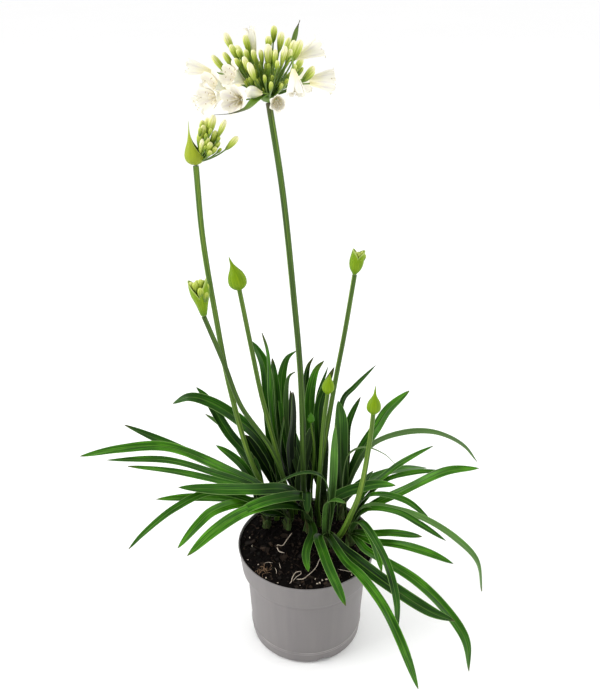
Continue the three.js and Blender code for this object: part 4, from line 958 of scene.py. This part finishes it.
# Each head has its stem, its receptacle's radius as core, and young as how many tiny buds are left to chance.
# A bud: its tip's place from the head's base, its length, its radius and how ripe it is. A bract: its width,
# its turn in degrees, the points it passes, where it is widest, and how dry it is at least. A spathe: its
# largest radius, its height and lean, its lobes and the notch between them, and its form from the foot up.
HEADS = {
    "umbel_main": {
        "stem": "stem_main", "core": 8.5, "young": 80,
        "bracts": [
            (10, 0, [(-6, -15, 3), (-12, -37, 2), (-19, -55, -1), (-31, -63, -3),
                (-46, -69, -3)], 0.3, 0.0),
            (5.2, 60, [(8, 7, 8), (16, 9, 25), (24, 15, 49), (27, 17, 59), (30, 18, 67)], 0.8, 0.5),
        ],
        "buds": [
            ((-53, -1, 38), 23, 3, 0.5), ((-41, -12, 42), 19, 2.9, 0.3), ((-41, 6, 57), 18, 3.5, 0.9),
            ((-34, -14, 49), 16, 3.1, 0.35), ((-21, -12, 57), 18, 3, 0.35), ((6, 0, 64), 15, 3.1, 0.3),
            ((1, -10, 56), 13, 3.2, 0.35), ((13, -4, 59), 18, 3.3, 0.65), ((1, -26, 51), 21, 3.5, 0.9),
            ((31, -4, 52), 21, 3.8, 0.6), ((25, -16, 53), 21, 3.2, 0.6), ((43, -16, 27), 16, 3.2, 0.2),
            ((-21, -34, 41), 17, 2.8, 0.6), ((-16, -42, 37), 22, 3.2, 0.9), ((-27, -22, 46), 11, 2.4, 0.2),
            ((-20, -24, 46), 12, 2.4, 0.3), ((-29, -27, 39), 12, 2.2, 0.2), ((-13, -26, 46), 15, 2.5, 0.4),
            ((-6, -24, 46), 15, 2.4, 0.4), ((8, -32, 46), 15, 2.4, 0.4), ((17, -32, 50), 21, 2.8, 0.8),
            ((10, -42, 39), 12, 2.1, 0.2), ((22, -28, 47), 20, 2.5, 0.5), ((-2, -44, 27), 16, 1.8, 0),
            ((4, -44, 21), 18, 2.1, 0), ((26, -30, 34), 12, 2.3, 0.2), ((14, -40, 19), 15, 1.8, 0),
            ((44, 26, 24), 19, 3.3, 0.6), ((20, 30, 50), 20, 3.5, 0.5), ((-32, 30, 43), 20, 3.5, 0.6),
            ((6, 46, 37), 19, 3.3, 0.5), ((-20, 46, 30), 17, 3.2, 0.4), ((32, 38, 30), 18, 3.3, 0.5),
        ],
    },
    "umbel_half_open": {
        "stem": "stem_half_open", "core": 3.8,
        "spathe": {
            "radius": 10.5, "height": 43, "lean": (-4, -3), "lobes": 1, "turn": 190, "notch": 0.1,
            "sharp": 2.2, "yellow": 0.5,
            "profile": [(0, 0.58), (0.07, 0.88), (0.2, 1), (0.36, 0.84), (0.56, 0.5), (0.8, 0.22), (1, 0.08)],
        },
        "buds": [
            ((21, 0, 49), 22, 4, 0.7), ((14, 6, 45), 20, 3.3, 0.6), ((11, -5, 40), 19, 3.2, 0.35),
            ((7, -7, 33), 16, 3, 0.2), ((10, -9, 27), 18, 3, 0.8), ((15, -8, 30), 17, 3.2, 0.35),
            ((23, -3, 34), 16, 3, 0.25), ((18, -10, 24), 15, 3.2, 0.3), ((26, -5, 24), 13, 2.8, 0.15),
            ((23, -9, 19), 11, 2.8, 0.2), ((33, -4, 45), 21, 3, 0.7), ((45, -3, 28), 19, 3.3, 0.55),
            ((13, 8, 37), 15, 2.9, 0.5), ((19, 14, 23), 13, 2.8, 0.4), ((9, 4, 43), 17, 2.9, 0.3),
            ((18, -13, 16), 9, 2.5, 0.15), ((14, -11, 33), 10, 1.8, -0.2), ((8, -10, 39), 11, 2, 0.1),
            ((27, -8, 29), 9, 1.8, -0.2), ((13, -12, 21), 8, 1.8, -0.3), ((28, -7, 17), 8, 1.7, -0.3),
            ((19, -11, 38), 10, 1.9, 0),
        ],
    },
    "umbel_left_bursting": {
        "stem": "stem_left_bursting", "core": 3.4,
        "spathe": {
            "radius": 10.5, "height": 40, "lean": (-5, 0), "lobes": 2, "turn": 180, "notch": 0.55,
            "sharp": 0.8, "profile": [(0, 0.34), (0.3, 0.62), (0.6, 0.95), (0.8, 1), (1, 0.95)],
        },
        "buds": [
            ((-12, -2, 38), 17, 3.5, 0.05), ((-7, -5, 39), 16, 3.6, -0.15), ((-1, -2, 41), 18, 3.8, -0.15),
            ((-1, -8.3, 34), 15, 3.7, -0.2), ((4, -1, 37), 16, 3.7, -0.2), ((4, -6.4, 29), 14, 3.4, -0.25),
            ((-6, 6, 37), 16, 3.4, -0.15), ((1, 6, 37), 16, 3.4, -0.2),
        ],
    },
    "umbel_right_bursting": {
        "stem": "stem_right_bursting", "core": 2.7,
        "spathe": {
            "radius": 7.7, "height": 27, "lean": (4, 0), "lobes": 2, "turn": 180, "notch": 0.7,
            "sharp": 0.6, "profile": [(0, 0.34), (0.2, 0.8), (0.45, 1), (0.75, 0.96), (1, 0.88)],
        },
        "buds": [
            ((1, 0, 25), 13, 3, -0.05), ((4, -3, 24), 12, 3.1, -0.25), ((8, 0, 25), 13, 3, -0.15),
            ((5, -5, 20), 10, 2.8, -0.25), ((10, 1, 22), 11, 2.7, -0.25), ((4, 5, 23), 12, 2.8, -0.25),
        ],
    },
}
# White flowers: the mouth's middle from the head's base, the way it faces, the funnel's length, the mouth's
# radius and how far the petals have opened.
BLOOMS = [
    ((-79, 26, 24), (-1, 0.1, 0.2), 24, 9, 0.6), ((-58, 6, 13), (-0.6, -0.6, 0.45), 24, 14.5, 1),
    ((-57, -27, 3), (-0.6, -0.8, 0), 24, 14.5, 1), ((-71, 4, -10), (-0.9, -0.4, -0.3), 24, 13, 1),
    ((-31, -45, 5), (-0.3, -0.95, 0.15), 24, 14.5, 1), ((-36, -22, 25), (-0.7, -0.6, 0.5), 22, 13, 0.8),
    ((-18, -31, 10), (-1, -0.4, 0.15), 14, 5.5, 0), ((-17, -5, 60), (-0.2, -0.05, 1), 24, 6.5, 0.3),
    ((49, 9, 45), (0.85, 0.15, 0.4), 26, 11.5, 0.8), ((62, 10, 17), (1, 0, 0.1), 24, 8.5, 0.6),
    ((26, -46, 11), (0.1, -0.4, -0.9), 22, 10, 0.7), ((10, -46, 2), (0.1, -0.95, -0.05), 17, 8.5, 1),
    ((-42, 48, 10), (-0.6, 0.75, 0.15), 24, 14, 1), ((32, 54, 4), (0.5, 0.85, 0), 24, 14, 1),
    ((-6, 62, 4), (-0.1, 1, 0.05), 24, 13.5, 0.9), ((60, 36, 8), (0.9, 0.45, 0), 23, 12, 0.8),
]
young_rng = np.random.default_rng(3)


def unit(way):
    """The same direction with a length of 1."""
    return np.array(way, float) / np.linalg.norm(way)


def head_base(head):
    """Where a head's parts spring from, just above its stem's end."""
    return np.array(STEMS[head["stem"]]["points"][-1], float) + (0, 0, CORE_FLATNESS * head["core"] + 2 * GAP)


def side_for(direction):
    """A direction that is clearly not the given one, to start a tube's rings from."""
    return (1, 0, 0) if abs(direction[0]) < 0.7 else (0, 1, 0)


def bud_part(base, tip, length, radius, ripe):
    """A pedicel that leaves the base and curves up into its bud."""
    end = np.array(tip, float)
    lean = unit(0.75 * unit(end) + np.array([0, 0, 0.25]))
    foot = end - lean * length
    knee = 0.55 * foot - np.array([0, 0, 0.06 * np.linalg.norm(foot)])
    line, travelled = route([(0, 0, 0), knee, foot, end], 0.8)
    left = travelled[-1] - travelled
    stations = [(far * length, size * radius) for far, size in BUD_FORM]
    stations += [(far, PEDICEL_RADIUS) for far in (1.03 * length, 1.2 * length, 400)]
    made, faces, turn = tube(base + line, smooth_profile(stations, left), side=side_for(lean), **BUD)
    swell = np.repeat(np.clip(1 - left / length, 0, 1), BUD["sides"])
    climb = np.repeat(travelled / travelled[-1], BUD["sides"])
    return made, faces, 0, {"round": turn, "swell": swell, "ripe": ripe, "climb": climb}


def bract_width(share, widest):
    """A bract is broadest at one share of its length and thin beyond it, down to a tail."""
    along = np.minimum(1, share) ** (math.log(0.5) / math.log(widest))
    body = np.maximum(0, np.sin(np.pi * along)) ** 1.3
    return np.maximum(BRACT_TAIL, body) * (1 - np.minimum(1, share) ** 14)


def receptacle_part(base, core):
    """The flattened ball that everything springs from."""
    rings = []
    for step in range(CORE_RINGS + 1):
        angle = math.pi * step / CORE_RINGS
        height = -math.cos(angle) * core * CORE_FLATNESS
        rings.append(hoop(max(0.05, math.sin(angle)) * core, height, CORE_SIDES) + base)
    return (*skin(rings), 1, {})


def spathe_part(base, radius, height, lean, lobes, turn, notch, sharp, profile, yellow=0.0):
    """The thin spathe round the buds: up outside to its lobed mouth, and down again inside."""
    middle = (0.4 * lean[0], 0.4 * lean[1], 0.5 * height)
    line, _ = route([(0, 0, 0), middle, (*lean, height)], 0.5)
    paths = (line, *axes_along(line, np.array([1.0, 0, 0])))
    stations = [(share * 100, size * radius) for share, size in profile]
    swell = smooth_profile(stations, np.linspace(0, 100, 101))
    angle = 2 * np.pi * np.arange(SPATHE_SIDES) / SPATHE_SIDES
    bearing = angle + math.radians(turn)
    mouth = notch + (1 - notch) * np.abs(np.cos(lobes * angle / 2)) ** sharp
    rises = np.linspace(0, 1, SPATHE_RINGS)
    rings, shares, edges = [], [], []
    for rise, inset in [(rise, 0) for rise in rises] + [(rise, SPATHE_THICKNESS) for rise in rises[:0:-1]]:
        share = rise * mouth
        place = share * (len(line) - 1)
        centre, right, up = (between(place, np.arange(len(line)), path) for path in paths)
        pleat = PLEATS["depth"] * np.cos(PLEATS["count"] * bearing) * np.sin(np.pi * share)
        reach = np.maximum(SPATHE_TIP, np.interp(share, np.linspace(0, 1, 101), swell)) - inset + pleat
        rings.append(centre + right * (reach * np.cos(bearing))[:, None]
                     + up * (reach * np.sin(bearing))[:, None])
        shares.append(share)
        edges.append(np.full(SPATHE_SIDES, rise))
    points, faces = skin(rings)
    values = {"round": np.tile(bearing / (2 * np.pi), len(rings)), "swell": np.concatenate(shares)}
    values.update({"rim": np.concatenate(edges), "yellow": yellow})
    return points + base, faces, 3, values


def young_buds(count):
    """Small green buds close to the base, among the pedicels of the large ones."""
    rows = []
    for _ in range(count):
        lean = math.radians(YOUNG["lean"]) * math.sqrt(young_rng.uniform())
        turn = young_rng.uniform(0, 2 * np.pi)
        way = np.array([math.sin(lean) * math.cos(turn), math.sin(lean) * math.sin(turn), math.cos(lean)])
        size = young_rng.uniform()
        reach, *rest = [YOUNG[key][0] + YOUNG[key][1] * size for key in ("reach", "length", "radius")]
        rows.append((reach * way, *rest, YOUNG["ripe"][0] + YOUNG["ripe"][1] * young_rng.uniform()))
    return rows


def head_parts(head, blooms):
    """Everything that springs from one stem's end, but for the white flowers themselves."""
    base = head_base(head)
    parts = [receptacle_part(base, head["core"])]
    if "spathe" in head:
        parts.append(spathe_part(base, **head["spathe"]))
    for width, roll, passed, widest, dried in head.get("bracts", []):
        line, travelled = route([(0, 0, 0), *passed], 1.5)
        share = travelled / travelled[-1]
        half = np.maximum(0.35, width * bract_width(share, widest) / 2)
        side = outward_side(line)
        made, faces, values = blade(base + line, travelled, half, side, 1.0, roll=roll, **BRACT)
        values["dry"] = np.clip((values["share"] - widest) / (1 - widest) * 2.5 - 0.6, dried, 1)
        parts.append((made, faces, 2, values))
    for bud in [*head["buds"], *young_buds(head.get("young", 0))]:
        parts.append(bud_part(base, *bud))
    for mouth, way, length, _, _ in blooms:
        facing = unit(way)
        end = np.array(mouth) - facing * (length + GAP)
        line, travelled = route([(0, 0, 0), end - 0.2 * np.linalg.norm(end) * facing, end], 1.5)
        made, faces, turn = tube(base + line, PEDICEL_RADIUS, PEDICEL_SIDES, side_for(facing))
        climb = np.repeat(travelled / travelled[-1], PEDICEL_SIDES)
        parts.append((made, faces, 0, {"round": turn, "swell": 0.0, "climb": climb}))
    return parts


# Buds: waxy and faintly streaked, green at the foot and paler to the tip, which is cream on a ripe one.
# Pedicels: smooth, dark green at their foot and lighter towards the bud.
bud_skin, tree = new_material("waxy_flower_bud", Roughness=0.42, IOR=1.42)
names = ("round", "swell", "ripe", "climb")
read = {name: add(tree, "Attribute", attribute_name=name).outputs["Fac"] for name in names}
vein_place = add(tree, "CombineXYZ", {0: read["round"], 1: read["swell"]})
drawn = add(tree, "Mapping", {"Vector": vein_place, "Scale": (16, 1.2, 1)})
veins = add(tree, "TexNoise", {"Vector": drawn, "Scale": 1.0, "Detail": 3.0})
striped = add(tree, "MapRange", {"Value": veins, "From": (0.3, 0.7), "To": (-0.16, 0.16)})
ripened = add(tree, "MapRange", {"Value": read["ripe"], "To": (-0.32, 0.22)}, clamp=False)
coloured = read["swell"]
for more in (ripened, striped):
    coloured = add(tree, "Math", {0: coloured, 1: more})
stages = ((0, "#5C7A18"), (0.28, "#8C9F28"), (0.55, "#B0C048"), (0.8, "#DADB8E"), (1, "#F2EDC4"))
ripe_colour = add(tree, "ValToRGB", {0: coloured}, stops=stages)
climbed = add(tree, "ValToRGB", {0: read["climb"]}, stops=((0, "#2F5410"), (1, "#74902E")))
stalked = add(tree, "MapRange", {"Value": read["swell"], "From": (0, 0.06), "To": (1, 0)})
feed(tree, Base_Color=add(tree, "Mix", {0: stalked, 6: ripe_colour, 7: climbed}))

# Receptacle: the stem's swollen end, pale green and smooth.
receptacle = mottled("pale_receptacle", 3, 2.0, "#44661E", "#728E3C", 0.45)

# Bract: half a spathe, leaf green, browning at its long thin tip.
bract_skin, tree = new_material("drying_bract", Roughness=0.45)
names = ("across", "share", "dry")
read = {name: add(tree, "Attribute", attribute_name=name).outputs["Fac"] for name in names}
drawn = add(tree, "CombineXYZ", {0: read["across"], 1: read["share"]})
veins = add(tree, "TexNoise", {"Vector": drawn, "Scale": 1.4, "Detail": 2.0})
alive = add(tree, "Mix", {0: veins, 6: "#4A7A1C", 7: "#8CB434"})
feed(tree, Base_Color=add(tree, "Mix", {0: read["dry"], 6: alive, 7: "#454A26"}))

skins = [bud_skin, receptacle, bract_skin, spathe_skin]
for name, head in HEADS.items():
    carried = BLOOMS if name == "umbel_main" else ()
    new_piece(name + "_buds", head_parts(head, carried), skins, name)

# ------------------------------------------------------------------ white flowers
# Six white petals, three outside and three inside, joined below into a funnel. Each has a faint lilac-grey
# midrib. Six curved filaments carry pale brown anthers, and one style stands among them.
PETALS = 6
PETAL_STEPS = 18
PETAL_ACROSS = np.linspace(1, -1, 9)
PETAL_THICKNESS = 0.35
PETAL_WIDTH = {"open": 0.42, "shut": 0.55}  # half of it, as a share of the mouth's radius
OUTER_PETAL = {"width": 0.86, "lift": 0.0, "shift": 0.18}
INNER_PETAL = {"width": 1.08, "lift": 0.35, "shift": -0.18}
SHUT_FORM = ((0.3, 0.62), (0.62, 1), (0.95, 0.85), (1.15, 0.12))
FILAMENT = {"radii": 0.28, "sides": 8}
FILAMENT_SPREAD = (0.28, 0.5)  # least and most, as a share of the mouth's radius
FILAMENT_LENGTH = (0.86, 1.0)  # as a share of the funnel's length
STYLE_LENGTH = 0.98
ANTHER_RADIUS = 0.38
ANTHER_SIDES = 10
petal_rng = np.random.default_rng(21)


def petal_profile(length, radius, opened):
    """Height and radius along a petal's middle, from the flower's foot to the petal's tip."""
    if opened == 0:
        outline = [(0, 1.2), *[(far * length, size * radius) for far, size in SHUT_FORM]]
    else:
        throat = min(5.6, 0.42 * radius + 1.2)
        bend = throat + 0.5 * (radius - throat)
        tip_height = length * (1.15 - 0.15 * opened)
        outline = [(0, 1.2), (0.25 * length, 0.55 * throat + 0.5), (0.5 * length, throat),
                   (0.8 * length, bend), (tip_height - 0.6 * opened, radius - 1.2),
                   (tip_height - 1.5 * opened, radius)]
    line, _ = route([(height, reach, 0) for height, reach in outline], 0.25)
    places = np.linspace(0, len(line) - 1, PETAL_STEPS + 1)
    return between(places, np.arange(len(line)), line[:, :2])


def bloom_parts(base, mouth, way, length, radius, opened):
    """One flower: its petals, and in an open one its filaments, anthers and style."""
    facing = unit(way)
    foot = base + np.array(mouth) - facing * length
    side = np.array([0, 0, 1.0]) if abs(facing[2]) < 0.9 else np.array([1.0, 0, 0])
    across = unit(side - side @ facing * facing)
    above = np.cross(facing, across)
    profile = petal_profile(length, radius, opened)
    share = np.linspace(0, 1, PETAL_STEPS + 1)
    slope = np.gradient(profile, axis=0)
    slope /= np.linalg.norm(slope, axis=1)[:, None]
    outwards, along = slope[:, :1], slope[:, 1:]
    curled = (PETAL_ACROSS**2)[None, :]
    both = np.concatenate([PETAL_ACROSS[::-1], PETAL_ACROSS])
    widest = PETAL_WIDTH["open" if opened else "shut"] * radius
    rounding = np.maximum(0.02, 1 - np.maximum(0, (share - 0.72) / 0.28) ** 2.3) ** 0.75
    blend = np.clip((share - 0.45) / 0.25, 0, 1)
    parts = []
    lilac = petal_rng.uniform(0.25, 1.0)
    for k in range(PETALS):
        petal = INNER_PETAL if k % 2 else OUTER_PETAL
        middle = math.pi * 2 * k / PETALS + petal_rng.uniform(-0.05, 0.05)
        lift = petal_rng.uniform(-0.8, 0.8) * opened
        reach = profile[:, 1] * (1 + 0.03 * petal_rng.uniform(-1, 1) * share**2)
        height = profile[:, 0] + lift * share**3 + petal["lift"]
        funnel = 1.25 * math.pi * reach / PETALS
        free = widest * petal["width"] * rounding
        half = funnel * (1 - blend) + np.minimum(free, 1.7 * funnel) * blend
        angle = middle + PETAL_ACROSS[None, :] * (half / reach)[:, None]
        bow = 0.10 * half[:, None] * curled * share[:, None]
        wave = 0.3 * np.sin(9 * share + 5 * k)[:, None]
        frill = wave * (curled * np.sign(PETAL_ACROSS)) * share[:, None] ** 2
        rings = []
        for sign in (1, -1):
            thick = sign * PETAL_THICKNESS / 2 + petal["shift"] - frill
            rise = height[:, None] - along * thick + bow * along
            away = np.maximum(0.25, reach[:, None] + outwards * thick - bow * outwards)
            rings.append(foot + facing * rise[..., None] + across * (away * np.cos(angle))[..., None]
                         + above * (away * np.sin(angle))[..., None])
        outside, inside = rings
        points, faces = skin(np.concatenate([outside[:, ::-1], inside], 1))
        values = {
            "edge": np.tile(np.abs(both), len(share)),
            "across": (both[None, :] * half[:, None] + 10 * k).ravel(),
            "share": np.repeat(share, len(both)),
            "lilac": lilac,
        }
        parts.append((points, faces, 0, values))
    if opened < 0.2:
        return parts
    for k in range(PETALS + 1):
        style = k == PETALS
        turn = math.pi * (2 * k + 1) / PETALS + petal_rng.uniform(-0.2, 0.2)
        out = across * math.cos(turn) + above * math.sin(turn)
        far = 0.0 if style else radius * petal_rng.uniform(*FILAMENT_SPREAD)
        top = length * (STYLE_LENGTH if style else petal_rng.uniform(*FILAMENT_LENGTH))
        bend = foot + facing * 0.65 * length + out * (1 + 0.3 * far)
        line, _ = route([foot + facing * 0.3 * length + out, bend, foot + facing * top + out * far], 1)
        points, faces, _ = tube(line, side=side_for(facing), **FILAMENT)
        parts.append((points, faces, 1, {}))
        if style:
            continue
        sac, _ = route([line[-1] - 0.8 * across, line[-1] + 0.2 * facing, line[-1] + 0.8 * across], 0.3)
        spread = np.sqrt(np.maximum(0.05, 1 - np.linspace(-1, 1, len(sac)) ** 2))
        points, faces, _ = tube(sac, ANTHER_RADIUS * spread, ANTHER_SIDES, facing)
        parts.append((points, faces, 2, {}))
    return parts


# Petal: thin, soft and matt white, warm in the throat and lilac-grey along the midrib.
petal_skin, tree = new_material("soft_white_petal", Roughness=0.6, IOR=1.38)
names = ("edge", "share", "across", "lilac")
read = {name: add(tree, "Attribute", attribute_name=name).outputs["Fac"] for name in names}
rib_reach = add(tree, "MapRange", {"Value": read["share"], "From": (0.95, 0.5)})
ribbed = add(tree, "MapRange", {"Value": read["edge"], "From": (0, 0.34), "To": (1, 0)})
for less in (rib_reach, read["lilac"]):
    ribbed = add(tree, "Math", {0: ribbed, 1: less}, operation="MULTIPLY")
drawn = add(tree, "CombineXYZ", {0: read["across"], 1: read["share"]})
veins = add(tree, "TexNoise", {"Vector": drawn, "Scale": 1.6, "Detail": 2.0})
white = add(tree, "Mix", {0: veins, 6: "#F2EEDF", 7: "#FCF9EC"})
throat = add(tree, "MapRange", {"Value": read["share"], "From": (0.15, 0.6), "To": (0.7, 0)})
lilac_grey = add(tree, "Mix", {0: ribbed, 6: white, 7: "#DFD6DA"})
feed(tree, Base_Color=add(tree, "Mix", {0: throat, 6: lilac_grey, 7: "#FCF2B8"}),
     Normal=add(tree, "Bump", {"Height": veins, "Strength": 0.25, "Distance": 0.15 * MM}))

# Filaments and style: smooth cream-white threads. Anthers: dusty, pale brown pollen sacs.
filament_skin, tree = new_material("white_filament", Roughness=0.5, Base_Color=linear("#F3F0E6"))
anther_skin = mottled("pollen_sac", 0.6, 2.0, "#9C8C66", "#D2C498", 0.85)

umbel_base = head_base(HEADS["umbel_main"])
bloom_nodes = sorted(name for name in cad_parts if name.startswith("bloom_"))
for name, bloom in zip(bloom_nodes, BLOOMS):
    parts = bloom_parts(umbel_base, *bloom)
    new_piece(name + "_petals", parts, [petal_skin, filament_skin, anther_skin], name)
